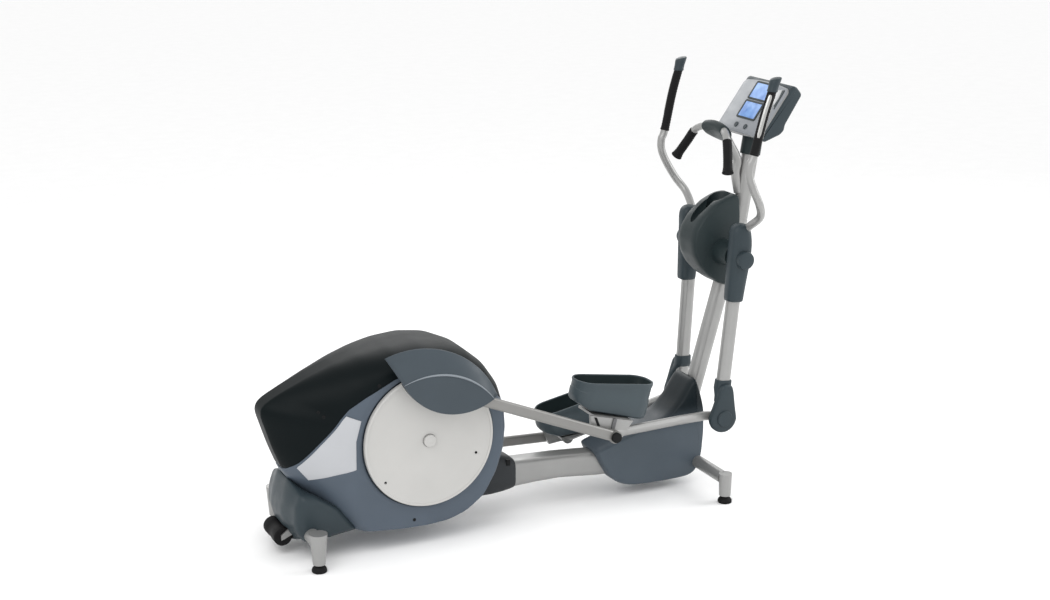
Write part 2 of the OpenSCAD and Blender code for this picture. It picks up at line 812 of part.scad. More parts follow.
main_beam();
rear_cross_leg();
front_cross_leg();
right_side_shell();
left_side_shell();
top_shell();
rear_boot();
beam_socket_cover();
accent_panels();
shell_screws();
crank_carrier();
brake_yoke();
drive_belt();
mast();
mast_shroud();
mast_neck_cover();
pivot_axle();
right_front_shroud();
left_front_shroud();
handlebar();
handlebar_grips();
handlebar_hood();
console_housing();
console_face();
console_screens();
rear_right_foot();
rear_left_foot();
front_right_foot();
front_left_foot();
transport_roller();
crankshaft();
drive_pulley();
right_crank_wheel();
left_crank_wheel();
flywheel();
idler_wheel();
start_key();
stop_key();
right_arm_tube();
right_upper_sleeve();
right_lower_sleeve();
right_handle();
right_grip();
right_grip_cap();
right_link_bush();
right_rear_link();
right_front_link();
right_link_shroud();
right_pedal();
left_arm_tube();
left_upper_sleeve();
left_lower_sleeve();
left_handle();
left_grip();
left_grip_cap();
left_link_bush();
left_rear_link();
left_front_link();
left_link_shroud();
left_pedal();
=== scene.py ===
import bpy
import bmesh
from math import asin, atan2, copysign, cos, hypot, pi, radians, sin, sqrt
from mathutils import Vector, Matrix


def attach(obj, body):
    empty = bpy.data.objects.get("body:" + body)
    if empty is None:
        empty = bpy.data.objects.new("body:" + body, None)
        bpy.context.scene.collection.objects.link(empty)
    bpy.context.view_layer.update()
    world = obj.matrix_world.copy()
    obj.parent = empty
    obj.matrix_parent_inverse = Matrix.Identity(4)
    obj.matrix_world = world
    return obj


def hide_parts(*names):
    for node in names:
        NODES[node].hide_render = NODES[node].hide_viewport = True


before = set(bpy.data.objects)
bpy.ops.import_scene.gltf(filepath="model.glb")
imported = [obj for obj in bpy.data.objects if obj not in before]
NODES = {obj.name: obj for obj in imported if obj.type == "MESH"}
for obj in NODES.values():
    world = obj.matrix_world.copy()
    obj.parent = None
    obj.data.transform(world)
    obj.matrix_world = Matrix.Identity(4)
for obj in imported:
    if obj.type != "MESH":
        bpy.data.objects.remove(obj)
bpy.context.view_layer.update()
SIDES = ("right", "left")

# The linkage's own dimensions, in metres, with X measured from the origin
HUB_X, HUB_Z = -0.517, 0.426
CRANK_R = 0.230
PIVOT_X, PIVOT_Z = 0.838, 0.988
ARM_LEN, LINK_LEN = 0.662, 1.328
FACE_TILT = radians(54.4)
FACE_FOOT = (0.932, 1.455)


def out(side):
    """-1 on the machine's right, +1 on its left"""
    return -1.0 if side == "right" else 1.0


def crank_pin(side):
    return Vector((HUB_X, HUB_Z + (CRANK_R if side == "right" else -CRANK_R)))


def link_pin(side):
    p = crank_pin(side)
    d = Vector((PIVOT_X, PIVOT_Z)) - p
    a = (LINK_LEN ** 2 - ARM_LEN ** 2 + d.length ** 2) / (2 * d.length)
    h = sqrt(LINK_LEN ** 2 - a * a)
    u = d.normalized()
    return p + a * u + h * Vector((u.y, -u.x))


def arm_frame(side):
    """Arm coordinates to the row frame: X forward and Z up along the arm, from its pivot"""
    lean = -asin((link_pin(side).x - PIVOT_X) / ARM_LEN)
    return Matrix.Translation((PIVOT_X, 0, PIVOT_Z)) @ Matrix.Rotation(lean, 4, "Y") \
        @ Matrix.Diagonal((1, -out(side), 1, 1))


def link_frame(side):
    """Link coordinates to the row frame: the origin is the pin at the arm"""
    e, p = link_pin(side), crank_pin(side)
    pitch = asin((p.y - e.y) / LINK_LEN)
    return Matrix.Translation((e.x, 0, e.y)) @ Matrix.Rotation(pitch, 4, "Y") \
        @ Matrix.Diagonal((1, -out(side), 1, 1))


def face_frame():
    return Matrix.Translation((FACE_FOOT[0], 0, FACE_FOOT[1])) \
        @ Matrix.Rotation(-FACE_TILT, 4, "Y")


# ---------------------------------------------------------------- materials
def noise(nt, scale, detail=3.0, rough=0.5, coord=None):
    n = nt.nodes.new("ShaderNodeTexNoise")
    n.inputs["Scale"].default_value = scale
    n.inputs["Detail"].default_value = detail
    n.inputs["Roughness"].default_value = rough
    nt.links.new(coord, n.inputs["Vector"])
    return n.outputs["Fac"]


def ramp(nt, fac, lo, hi, a=0.3, b=0.7):
    r = nt.nodes.new("ShaderNodeMapRange")
    r.inputs["From Min"].default_value, r.inputs["From Max"].default_value = a, b
    r.inputs["To Min"].default_value, r.inputs["To Max"].default_value = lo, hi
    nt.links.new(fac, r.inputs["Value"])
    return r.outputs["Result"]


def material(name, color, rough, metal=0.0, grain=1100, grain_depth=0.12, vary=0.05,
             rough_vary=0.08, coat=0.0, spec=0.5, brushed=None):
    """Moulded, painted or machined surface: tone drift, uneven gloss and a fine surface grain"""
    m = bpy.data.materials.new(name)
    m.use_nodes = True
    nt = m.node_tree
    bsdf = nt.nodes["Principled BSDF"]
    coord = nt.nodes.new("ShaderNodeTexCoord").outputs["Object"]
    if brushed:
        mp = nt.nodes.new("ShaderNodeMapping")
        mp.inputs["Scale"].default_value = brushed
        nt.links.new(coord, mp.inputs["Vector"])
        grain_coord = mp.outputs["Vector"]
    else:
        grain_coord = coord
    tone = nt.nodes.new("ShaderNodeMix")
    tone.data_type = "RGBA"
    tone.inputs["A"].default_value = (*[c * (1 - vary) for c in color], 1)
    tone.inputs["B"].default_value = (*[min(1, c * (1 + vary)) for c in color], 1)
    nt.links.new(ramp(nt, noise(nt, 7, coord=coord), 0, 1), tone.inputs["Factor"])
    nt.links.new(tone.outputs["Result"], bsdf.inputs["Base Color"])
    nt.links.new(ramp(nt, noise(nt, 22, 5, coord=coord), rough - rough_vary / 2,
                      rough + rough_vary), bsdf.inputs["Roughness"])
    bump = nt.nodes.new("ShaderNodeBump")
    bump.inputs["Strength"].default_value = grain_depth
    bump.inputs["Distance"].default_value = 0.0004
    nt.links.new(noise(nt, grain, 2, 0.6, grain_coord), bump.inputs["Height"])
    nt.links.new(bump.outputs["Normal"], bsdf.inputs["Normal"])
    bsdf.inputs["Metallic"].default_value = metal
    bsdf.inputs["Specular IOR Level"].default_value = spec
    if coat:
        bsdf.inputs["Coat Weight"].default_value = coat
        bsdf.inputs["Coat Roughness"].default_value = 0.15
    return m


M = {
    "silver": material("silver_paint", (0.31, 0.31, 0.305), 0.38, metal=0.60, grain=1600,
                       grain_depth=0.06, vary=0.03, coat=0.10),
    # Painted shade: a darker copy of the silver paint for the rear links, which catch less light
    "link": material("shaded_silver_paint", (0.225, 0.222, 0.214), 0.40, metal=0.55, grain=1600,
                     grain_depth=0.06, vary=0.03, coat=0.08),
    "pedal": material("pedal_plastic", (0.046, 0.062, 0.071), 0.44, spec=0.30),
    # Painted highlight: a pale plastic for the leaf covers' raised ridge, standing in for the light along
    # it
    "edge": material("ridge_highlight_plastic", (0.20, 0.225, 0.25), 0.34, grain=1200,
                     grain_depth=0.08, vary=0.04, spec=0.4),
    "slate": material("slate_plastic", (0.070, 0.090, 0.116), 0.42, spec=0.32),
    "slate_deep": material("slate_deep_plastic", (0.024, 0.036, 0.043), 0.42, spec=0.28),
    "leaf": material("leaf_plastic", (0.042, 0.056, 0.068), 0.40, grain=1200,
                     grain_depth=0.10, spec=0.32),
    "dark": material("dark_plastic", (0.0022, 0.0046, 0.0053), 0.46, grain=1200,
                     grain_depth=0.10, vary=0.06, rough_vary=0.02, spec=0.09),
    "teal": material("mast_plastic", (0.015, 0.024, 0.026), 0.44, grain=1200,
                     vary=0.08, spec=0.25),
    "panel": material("panel_plastic", (0.42, 0.43, 0.45), 0.42, grain=1300,
                      grain_depth=0.08, vary=0.02),
    "disc": material("disc_plastic", (0.47, 0.465, 0.45), 0.44, grain=1300,
                     grain_depth=0.08, vary=0.025),
    "console": material("console_plastic", (0.235, 0.25, 0.27), 0.42, grain=1500,
                        grain_depth=0.07, vary=0.03),
    "socket": material("socket_plastic", (0.024, 0.027, 0.030), 0.45, vary=0.08, spec=0.25),
    "window": material("window_plastic", (0.008, 0.020, 0.026), 0.14, grain=400,
                       grain_depth=0.02, vary=0.2, coat=0.5),
    "black": material("black_plastic", (0.005, 0.0055, 0.006), 0.48, grain=900,
                      grain_depth=0.2, vary=0.15, spec=0.16),
    "rubber": material("black_rubber", (0.008, 0.008, 0.0085), 0.62, grain=700,
                       grain_depth=0.35, vary=0.15, spec=0.12),
    "steel": material("machined_steel", (0.55, 0.55, 0.56), 0.26, metal=1.0,
                      grain=300, grain_depth=0.15, vary=0.03, brushed=(1, 12, 1)),
    "chrome": material("bright_plate", (0.40, 0.40, 0.39), 0.28, metal=1.0, grain=400,
                       grain_depth=0.04, vary=0.02),
    "iron": material("cast_iron", (0.16, 0.16, 0.165), 0.55, metal=0.8, grain=260,
                     grain_depth=0.5, vary=0.12),
    "bronze": material("bearing_bronze", (0.50, 0.33, 0.13), 0.35, metal=1.0, grain=500,
                       grain_depth=0.1, vary=0.06),
}


def lcd_material():
    """Blue lit screen with soft, letterless panes"""
    m = bpy.data.materials.new("lcd_glass")
    m.use_nodes = True
    nt = m.node_tree
    bsdf = nt.nodes["Principled BSDF"]
    coord = nt.nodes.new("ShaderNodeTexCoord").outputs["Object"]
    mix = nt.nodes.new("ShaderNodeMix")
    mix.data_type = "RGBA"
    mix.inputs["A"].default_value = (0.10, 0.20, 0.46, 1)
    mix.inputs["B"].default_value = (0.20, 0.34, 0.62, 1)
    nt.links.new(ramp(nt, noise(nt, 26, 1, coord=coord), 0, 1), mix.inputs["Factor"])
    nt.links.new(mix.outputs["Result"], bsdf.inputs["Base Color"])
    nt.links.new(mix.outputs["Result"], bsdf.inputs["Emission Color"])
    bsdf.inputs["Emission Strength"].default_value = 0.35
    bsdf.inputs["Roughness"].default_value = 0.12
    bsdf.inputs["Coat Weight"].default_value = 0.6
    return m


M["lcd"] = lcd_material()


def shade_upward(mat, low, high, tint):
    """Painted shade: deepens a colour between two heights, darkening the cover towards its pointed top"""
    nt = mat.node_tree
    bsdf = nt.nodes["Principled BSDF"]
    was = bsdf.inputs["Base Color"].links[0].from_socket
    split = nt.nodes.new("ShaderNodeSeparateXYZ")
    nt.links.new(nt.nodes["Texture Coordinate"].outputs["Object"], split.inputs["Vector"])
    span = nt.nodes.new("ShaderNodeMapRange")
    span.interpolation_type = "SMOOTHSTEP"
    span.inputs["From Min"].default_value, span.inputs["From Max"].default_value = low, high
    nt.links.new(split.outputs["Z"], span.inputs["Value"])
    mix = nt.nodes.new("ShaderNodeMix")
    mix.data_type = "RGBA"
    nt.links.new(span.outputs["Result"], mix.inputs["Factor"])
    nt.links.new(was, mix.inputs["A"])
    mix.inputs["B"].default_value = (*tint, 1)
    nt.links.new(mix.outputs["Result"], bsdf.inputs["Base Color"])
    return mat


# The front covers' slate plastic, with painted shade darkening it towards the top
M["cover"] = shade_upward(material("cover_plastic", (0.070, 0.088, 0.106), 0.40, spec=0.20),
                          0.24, 0.36, (0.005, 0.010, 0.013))
# The CAD nodes of each look; a leading * stands for the right and the left one
LOOK_NODES = {
    "silver": "main_beam rear_cross_leg front_cross_leg mast handlebar *arm_tube *handle "
              "*front_link",
    "slate": "*side_shell *front_shroud",
    "slate_deep": "rear_boot console_housing start_key stop_key *upper_sleeve "
                  "*lower_sleeve *grip_cap",
    "dark": "top_shell beam_socket_cover",
    "teal": "mast_shroud mast_neck_cover handlebar_hood",
    "rubber": "drive_belt handlebar_grips transport_roller rear_right_foot rear_left_foot "
              "front_right_foot front_left_foot *grip",
    "black": "shell_screws brake_yoke idler_wheel",
    "steel": "crank_carrier pivot_axle crankshaft drive_pulley",
    "panel": "accent_panels", "console": "console_face", "lcd": "console_screens",
    "disc": "*crank_wheel", "iron": "flywheel", "bronze": "*link_bush",
    "link": "*rear_link", "leaf": "*link_shroud", "pedal": "*pedal",
}
for look, nodes in LOOK_NODES.items():
    for node in nodes.split():
        for name in [node.replace("*", side + "_") for side in SIDES] if "*" in node else [node]:
            NODES[name].data.materials.clear()
            NODES[name].data.materials.append(M[look])


# ---------------------------------------------------------------- mesh helpers
def make_piece(name, verts, faces, look, body, stands_for=(), place=None, bevel=0.0, subdiv=0,
               angle=35.0):
    """A closed mesh piece that rides on a body. place maps its coordinates to the row frame."""
    me = bpy.data.meshes.new(name)
    pts = [Vector(v) for v in verts]
    if place is not None:
        pts = [place @ v for v in pts]
    me.from_pydata(pts, [], faces)
    bm = bmesh.new()
    bm.from_mesh(me)
    bmesh.ops.remove_doubles(bm, verts=bm.verts, dist=1e-6)
    bmesh.ops.recalc_face_normals(bm, faces=bm.faces)
    sharp = radians(angle)
    for e in bm.edges:
        e.smooth = not (len(e.link_faces) == 2 and e.calc_face_angle(0) > sharp)
    for f in bm.faces:
        f.smooth = True
    bm.to_mesh(me)
    bm.free()
    obj = bpy.data.objects.new(name, me)
    bpy.context.scene.collection.objects.link(obj)
    me.materials.append(M[look])
    if bevel:
        b = obj.modifiers.new("edge", "BEVEL")
        b.width, b.segments, b.limit_method, b.angle_limit = bevel, 3, "ANGLE", sharp
        b.harden_normals = True
    if subdiv:
        d = obj.modifiers.new("smooth", "SUBSURF")
        d.levels = d.render_levels = subdiv
    if stands_for:
        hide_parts(*stands_for)
    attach(obj, body)
    return obj


def skin(rings, closed=True, caps=True):
    """Vertices and faces of a body lofted through rings of equal length"""
    n = len(rings[0])
    verts = [tuple(p) for ring in rings for p in ring]
    faces = []
    for i in range(len(rings) - 1):
        for k in range(n if closed else n - 1):
            j = (k + 1) % n
            faces.append((i * n + k, i * n + j, (i + 1) * n + j, (i + 1) * n + k))
    if caps:
        faces.append(tuple(range(n - 1, -1, -1)))
        faces.append(tuple((len(rings) - 1) * n + k for k in range(n)))
    return verts, faces


def loft(name, rings, look, body, *rest, **more):
    """A solid piece lofted through rings"""
    v, f = skin(rings)
    return make_piece(name, v, f, look, body, *rest, **more)


def hoop(name, rings, look, body, *rest, **more):
    """A hollow piece whose last ring joins its first one"""
    v, f = skin(rings + [rings[0]], caps=False)
    return make_piece(name, v, f, look, body, *rest, **more)


def turns(n):
    """n angles evenly around a full turn"""
    return [2 * pi * k / n for k in range(n)]


def signed_power(c, p):
    return copysign(abs(c) ** p, c)


def spline(points, per=10):
    """Catmull-Rom curve through the points"""
    p = [Vector(q) for q in points]
    p = [2 * p[0] - p[1]] + p + [2 * p[-1] - p[-2]]
    curve = []
    for i in range(1, len(p) - 2):
        for k in range(per):
            t = k / per
            a, b, c, d = p[i - 1], p[i], p[i + 1], p[i + 2]
            curve.append(0.5 * (2 * b + (c - a) * t + (2 * a - 5 * b + 4 * c - d) * t * t
                                + (3 * b - a - 3 * c + d) * t ** 3))
    curve.append(p[-2].copy())
    return curve


def sweep_rings(path, radius, sides=28):
    """Round rings along a path; radius is a number or a function of the share of length"""
    total = [0.0]
    for a, b in zip(path, path[1:]):
        total.append(total[-1] + (b - a).length)
    rings, side = [], None
    for i, p in enumerate(path):
        t = (path[min(i + 1, len(path) - 1)] - path[max(i - 1, 0)]).normalized()
        if side is None:
            side = t.orthogonal().normalized()
        side = (side - t * side.dot(t)).normalized()
        up = t.cross(side)
        r = radius(total[i] / total[-1]) if callable(radius) else radius
        rings.append([p + r * (side * cos(a) + up * sin(a))
                      for a in turns(sides)])
    return rings


def lathe_y(profile, cx, cz, flip=1.0, sides=96):
    """Rings about a Y axis through (cx, cz) from (radius, y) pairs"""
    return [[(cx + r * cos(a), flip * y, cz + r * sin(a))
             for a in turns(sides)] for r, y in profile]


def mm(*v):
    return tuple(x / 1000.0 for x in v)


# ---------------------------------------------------------------- camera, light, floor
cam_data = bpy.data.cameras.new("camera")
cam = bpy.data.objects.new("camera", cam_data)
bpy.context.scene.collection.objects.link(cam)
cam.location = (-2.8889, -6.1261, 2.7147)
look = Vector((0.4061, 0.8748, -0.2642))
cam.rotation_mode = "QUATERNION"
cam.rotation_quaternion = look.to_track_quat("-Z", "Y")
cam_data.lens = 61.27
cam_data.sensor_width = 36.0
cam_data.shift_x = 0.0058
cam_data.shift_y = 0.0006
bpy.context.scene.camera = cam


def area_light(name, place, target, size, power):
    d = bpy.data.lights.new(name, "AREA")
    d.shape = "RECTANGLE"
    d.size, d.size_y = size
    d.energy = power
    o = bpy.data.objects.new(name, d)
    bpy.context.scene.collection.objects.link(o)
    o.location = place
    o.rotation_mode = "QUATERNION"
    o.rotation_quaternion = (Vector(target) - Vector(place)).to_track_quat("-Z", "Y")


MIDDLE = (0, 0, 0.8)
area_light("key_softbox", (-3.2, -2.6, 4.2), MIDDLE, (3.2, 3.2), 90)
area_light("front_fill", (0.6, -5.2, 1.8), MIDDLE, (4.0, 2.6), 12)
area_light("right_strip", (4.2, -1.2, 2.6), MIDDLE, (1.6, 3.4), 80)
area_light("back_rim", (1.2, 4.4, 3.2), MIDDLE, (3.4, 2.2), 60)

world = bpy.data.worlds.new("studio")
bpy.context.scene.world = world
world.use_nodes = True
world.node_tree.nodes["Background"].inputs["Color"].default_value = (1, 1, 1, 1)
world.node_tree.nodes["Background"].inputs["Strength"].default_value = 1.0
bpy.context.scene.view_settings.view_transform = "Standard"


def floor():
    bm = bmesh.new()
    size = 60.0
    corners = [bm.verts.new((x, y, -0.001)) for x, y in
               ((-size, -size), (size, -size), (size, size), (-size, size))]
    bm.faces.new(corners)
    me = bpy.data.meshes.new("studio_floor")
    bm.to_mesh(me)
    bm.free()
    o = bpy.data.objects.new("studio_floor", me)
    bpy.context.scene.collection.objects.link(o)
    m = material("floor_paper", (0.965, 0.965, 0.965), 0.85, grain=60, grain_depth=0.02,
                 vary=0.01, spec=0.1)
    me.materials.append(m)


floor()

# ---------------------------------------------------------------- side-view helpers
def resample(points, n, closed=True):
    """n points spaced evenly along an outline of (x, z) points"""
    pts = [Vector(p) for p in points]
    if closed:
        pts.append(pts[0].copy())
    lengths = [0.0]
    for a, b in zip(pts, pts[1:]):
        lengths.append(lengths[-1] + (b - a).length)
    result, k = [], 0
    for i in range(n):
        want = lengths[-1] * i / (n if closed else n - 1)
        while k < len(pts) - 2 and lengths[k + 1] < want:
            k += 1
        span = max(lengths[k + 1] - lengths[k], 1e-9)
        result.append(pts[k].lerp(pts[k + 1], (want - lengths[k]) / span))
    return result


def soften(points, times, keep=()):
    """Rounds an outline by averaging each point with its neighbours"""
    pts = [Vector(p) for p in points]
    for _ in range(times):
        n = len(pts)
        pts = [pts[i] if i in keep else
               pts[i] * 0.5 + (pts[i - 1] + pts[(i + 1) % n]) * 0.25 for i in range(n)]
    return pts


def outline_mm(points, n=96, smooth=3, shift=HUB_X):
    """A closed (x, z) outline in hub millimetres, as n softened points in row metres"""
    pts = [(x / 1000.0 + shift, z / 1000.0) for x, z in points]
    return soften(resample(pts, n), smooth)


def shrink(points, d):
    """Offsets a closed outline inward by d along its own normals"""
    n = len(points)
    area = sum(points[i].x * points[(i + 1) % n].y - points[(i + 1) % n].x * points[i].y
               for i in range(n))
    turn = 1.0 if area > 0 else -1.0
    result = []
    for i in range(n):
        t = (points[(i + 1) % n] - points[i - 1]).normalized()
        result.append(points[i] + Vector((-t.y, t.x)) * turn * d)
    return result


def crowned(name, outline, half_w, look, body, stands_for, crown=0.024, steps=7,
            place=None, y_mid=0.0, y_dir=None, bevel_in=0.05, angle=40.0):
    """A closed side-view outline given width, with rounded, crowned edges on both flanks"""
    rings = []
    spans = []
    for k in range(steps + 1):
        a = pi / 2 * k / steps
        spans.append((half_w - crown * (1 - sin(a)), bevel_in * (1 - cos(a))))
    flank = [(half_w - crown, 0.0)] + spans[1:]
    lower = [(-y, d) for y, d in reversed(flank)] if y_dir is None else [(0.0, 0.0)]
    for y, d in lower + flank:
        ring = shrink(outline, d) if d else outline
        yy = y if y_dir is None else y_mid + y_dir * y
        rings.append([(p.x, yy, p.y) for p in ring])
    return loft(name, rings, look, body, stands_for, place, angle=angle)


# ---------------------------------------------------------------- crank wheels
def crank_wheel(side):
    """Pale dished disc with a raised rounded rim, a centre cap, its seam and two bolts"""
    y = out(side)
    rim = [(0.0005, 0.196), (0.040, 0.196), (0.040, 0.2135), (0.249, 0.2135), (0.2495, 0.201),
           (0.2590, 0.2005), (0.2600, 0.203), (0.2600, 0.2195), (0.2588, 0.2222),
           (0.2565, 0.2230), (0.2520, 0.2230), (0.2500, 0.2218), (0.2495, 0.2203),
           (0.2465, 0.2196), (0.2300, 0.2180), (0.1900, 0.2166), (0.1400, 0.2155),
           (0.0700, 0.2150), (0.0005, 0.2150)]
    loft(side + "_wheel_disc", lathe_y(rim, HUB_X, HUB_Z, y, 128), "disc", "crank",
                      [side + "_crank_wheel"], angle=40)
    cap = [(0.0005, 0.2142), (0.0235, 0.2142), (0.0240, 0.2245), (0.0225, 0.2262),
           (0.0150, 0.2258), (0.0120, 0.2268), (0.0005, 0.2270)]
    loft(side + "_wheel_cap", lathe_y(cap, HUB_X, HUB_Z, y, 48), "disc", "crank", (), angle=40)
    seam = [(0.0250, 0.2142), (0.0250, 0.2156), (0.0260, 0.2156), (0.0260, 0.2142)]
    rings = lathe_y(seam, HUB_X, HUB_Z, y, 64)
    hoop(side + "_wheel_seam", rings, "black", "crank", ())
    for i, (deg, reach) in enumerate(((-22.0, 0.205), (-142.0, 0.229))):
        a = radians(deg)
        bx, bz = HUB_X + reach * cos(a), HUB_Z + reach * sin(a)
        bolt = [(0.0003, 0.2150), (0.0050, 0.2150), (0.0052, 0.2182), (0.0045, 0.2190),
                (0.0027, 0.2191), (0.0025, 0.2180), (0.0003, 0.2180)]
        loft("%s_wheel_bolt_%d" % (side, i), lathe_y(bolt, bx, bz, y, 24), "black", "crank", ())
    pin = crank_pin(side)
    prof = [(0.0003, 0.204), (0.0160, 0.204), (0.0160, 0.2600), (0.0148, 0.2615),
            (0.0003, 0.2615)]
    loft(side + "_crank_pin", lathe_y(prof, pin.x, pin.y, y, 40), "steel", "crank", ())


# ---------------------------------------------------------------- moving handles
HANDLE_PATH = [mm(2, -187, 60), mm(3, -189, 92), mm(10, -222, 134), mm(14, -284, 184),
               mm(-18, -322, 236), mm(-64, -330, 305), mm(-89, -330, 356),
               mm(-92, -330, 400), mm(-80, -330, 436), mm(-55, -330, 590),
               mm(-32, -330, 690)]


def moving_handle(side):
    body, place = side + "_arm", arm_frame(side)
    path = spline(HANDLE_PATH, 12)
    loft(side + "_handle_tube", sweep_rings(path, 0.016, 32), "silver", body, [side + "_handle"], place)
    start = 12 * 8
    grip = path[start:]

    def grip_radius(t):
        ridge = 0.0005 * sin(t * 150)
        collar = 0.0022 * max(0.0, 1 - abs(t - 0.02) / 0.02)
        return 0.0174 + ridge + collar

    fine = spline(grip[::3] + [grip[-1]], 14)
    loft(side + "_grip_sleeve", sweep_rings(fine, grip_radius, 36), "rubber", body, [side + "_grip"], place)
    pulse_plates(side, fine, body, place)
    top = Vector(HANDLE_PATH[-1])
    rings = []
    for t, r, dx in ((0.000, 0.0202, 0.000), (0.003, 0.0212, 0.000), (0.010, 0.0200, 0.001),
                     (0.022, 0.0205, 0.003), (0.036, 0.0222, 0.006), (0.046, 0.0232, 0.008),
                     (0.0500, 0.0226, 0.009), (0.0520, 0.0200, 0.009),
                     (0.0526, 0.0010, 0.009)):
        slant = 0.30 * max(0.0, (t - 0.010) / 0.042)
        rings.append([top + Vector((dx + r * cos(a), r * sin(a),
                                    t - 0.004 + slant * r * cos(a)))
                      for a in turns(32)])
    loft(side + "_handle_tip", rings, "slate_deep", body, [side + "_grip_cap"], place)


def pulse_plates(side, path, body, place):
    """Two bright plates let into the grip, turned outward, with rounded edges"""
    lo, hi = int(len(path) * 0.22), int(len(path) * 0.80)
    for tag, sign in (("front", 1.0), ("rear", -1.0)):
        rings = []
        for i in range(lo, hi + 1):
            p = path[i]
            t = (path[i + 1] - path[i - 1]).normalized()
            across = Vector((0, 1, 0))
            ahead = across.cross(t).normalized() * sign
            turn = -0.95 if sign < 0 else -0.35
            edge = min(i - lo, hi - i) / 5.0
            spread = radians(24) * min(1.0, 0.55 + 0.45 * edge)
            ring = []
            for k in range(13):
                a = turn - spread + 2 * spread * k / 12
                ring.append(p + 0.0186 * (ahead * cos(a) + across * sin(a)))
            for k in range(12, -1, -1):
                a = turn - spread + 2 * spread * k / 12
                ring.append(p + 0.0172 * (ahead * cos(a) + across * sin(a)))
            rings.append(ring)
        loft("%s_pulse_plate_%s" % (side, tag), rings, "chrome", body, (), place, angle=50)


# ---------------------------------------------------------------- pedals
def rounded_plan(x0, x1, y0, y1, r_rear, r_front, n=9):
    pts = []
    for cx, cy, r, a0 in ((x1 - r_front, y1 - r_front, r_front, 0),
                          (x0 + r_rear, y1 - r_rear, r_rear, 90),
                          (x0 + r_rear, y0 + r_rear, r_rear, 180),
                          (x1 - r_front, y0 + r_front, r_front, 270)):
        for k in range(n):
            a = radians(a0 + 90 * k / (n - 1))
            pts.append((cx + r * cos(a), cy + r * sin(a)))
    return pts


def line_at(points, x):
    """Height at x of an open chain of (x, z) points"""
    for (xa, za), (xb, zb) in zip(points, points[1:]):
        if xa <= x <= xb:
            return za + (zb - za) * (x - xa) / (xb - xa)
    return points[0][1] if x < points[0][0] else points[-1][1]


PEDAL_RIM = [(-0.700, 0.072), (-0.340, 0.109)]
PEDAL_UNDER = [(-0.692, 0.010), (-0.676, -0.014), (-0.600, -0.044), (-0.350, -0.044)]
PEDAL_FLOOR = [(-0.700, -0.008), (-0.340, 0.030)]


def pedal_ring(inset, height):
    """height is a function of x"""
    plan = rounded_plan(-0.692 + inset, -0.350 - inset, -0.238 + inset, -0.092 - inset,
                        0.068 - min(inset, 0.05), max(0.060 - inset, 0.008))
    return [(x, y, height(x)) for x, y in plan]


def pedal(side):
    body, place = side + "_link", link_frame(side)

    def level(share, rim_drop=0.0):
        def z(x):
            under, rim = line_at(PEDAL_UNDER, x), line_at(PEDAL_RIM, x) - rim_drop
            return under + (rim - under) * share
        return z

    def wave(share):
        def z(x):
            under, rim = line_at(PEDAL_UNDER, x), line_at(PEDAL_RIM, x)
            return under + (rim - under) * (share + 0.09 * sin((x + 0.66) * 17.0))
        return z

    def floor_z(lift):
        return lambda x: line_at(PEDAL_FLOOR, x) + lift

    rings = [pedal_ring(inset, height) for inset, height in (
        (0.040, level(0.0)), (0.014, level(0.0)), (0.0045, level(0.05)), (0.0015, level(0.16)),
        (0.0008, wave(0.56)), (0.0036, wave(0.61)), (0.0030, level(0.84)), (0.0004, level(0.90)),
        (0.0004, level(1.0, 0.0020)), (0.0018, level(1.0)), (0.0050, level(1.0)),
        (0.0066, level(1.0, 0.0020)), (0.0072, level(0.90)), (0.0085, floor_z(0.014)),
        (0.0130, floor_z(0.004)), (0.0220, floor_z(0.0015)), (0.0400, floor_z(0.0012)))]
    loft(side + "_foot_cup", rings, "pedal", body, [side + "_pedal"], place, angle=30)
    lining = [pedal_ring(inset, height) for inset, height in (
        (0.0064, level(0.965)), (0.0080, level(0.965)), (0.0092, floor_z(0.015)),
        (0.0140, floor_z(0.0048)), (0.0225, floor_z(0.0022)), (0.0400, floor_z(0.0018)),
        (0.0400, floor_z(0.0006)), (0.0225, floor_z(0.0006)), (0.0125, floor_z(0.0030)),
        (0.0078, floor_z(0.0150)))]
    hoop(side + "_foot_lining", lining, "teal", body, (), place)
    mat_rings = [pedal_ring(inset, height) for inset, height in (
        (0.016, floor_z(0.0012)), (0.016, floor_z(0.0042)), (0.018, floor_z(0.0052)),
        (0.040, floor_z(0.0052)))]
    loft(side + "_foot_mat", mat_rings, "rubber", body, (), place)
    for i in range(13):
        x0 = -0.655 + i * 0.0225
        ring0 = [(x0, -0.214, line_at(PEDAL_FLOOR, x0) + 0.0050),
                 (x0 + 0.008, -0.214, line_at(PEDAL_FLOOR, x0 + 0.008) + 0.0050),
                 (x0 + 0.007, -0.214, line_at(PEDAL_FLOOR, x0) + 0.0078),
                 (x0 + 0.001, -0.214, line_at(PEDAL_FLOOR, x0) + 0.0078)]
        ring1 = [(x, -0.116, z) for x, _, z in ring0]
        loft("%s_tread_%02d" % (side, i), [ring0, ring1], "rubber", body, (), place, bevel=0.0008)


for side in SIDES:
    crank_wheel(side)
    moving_handle(side)
    pedal(side)


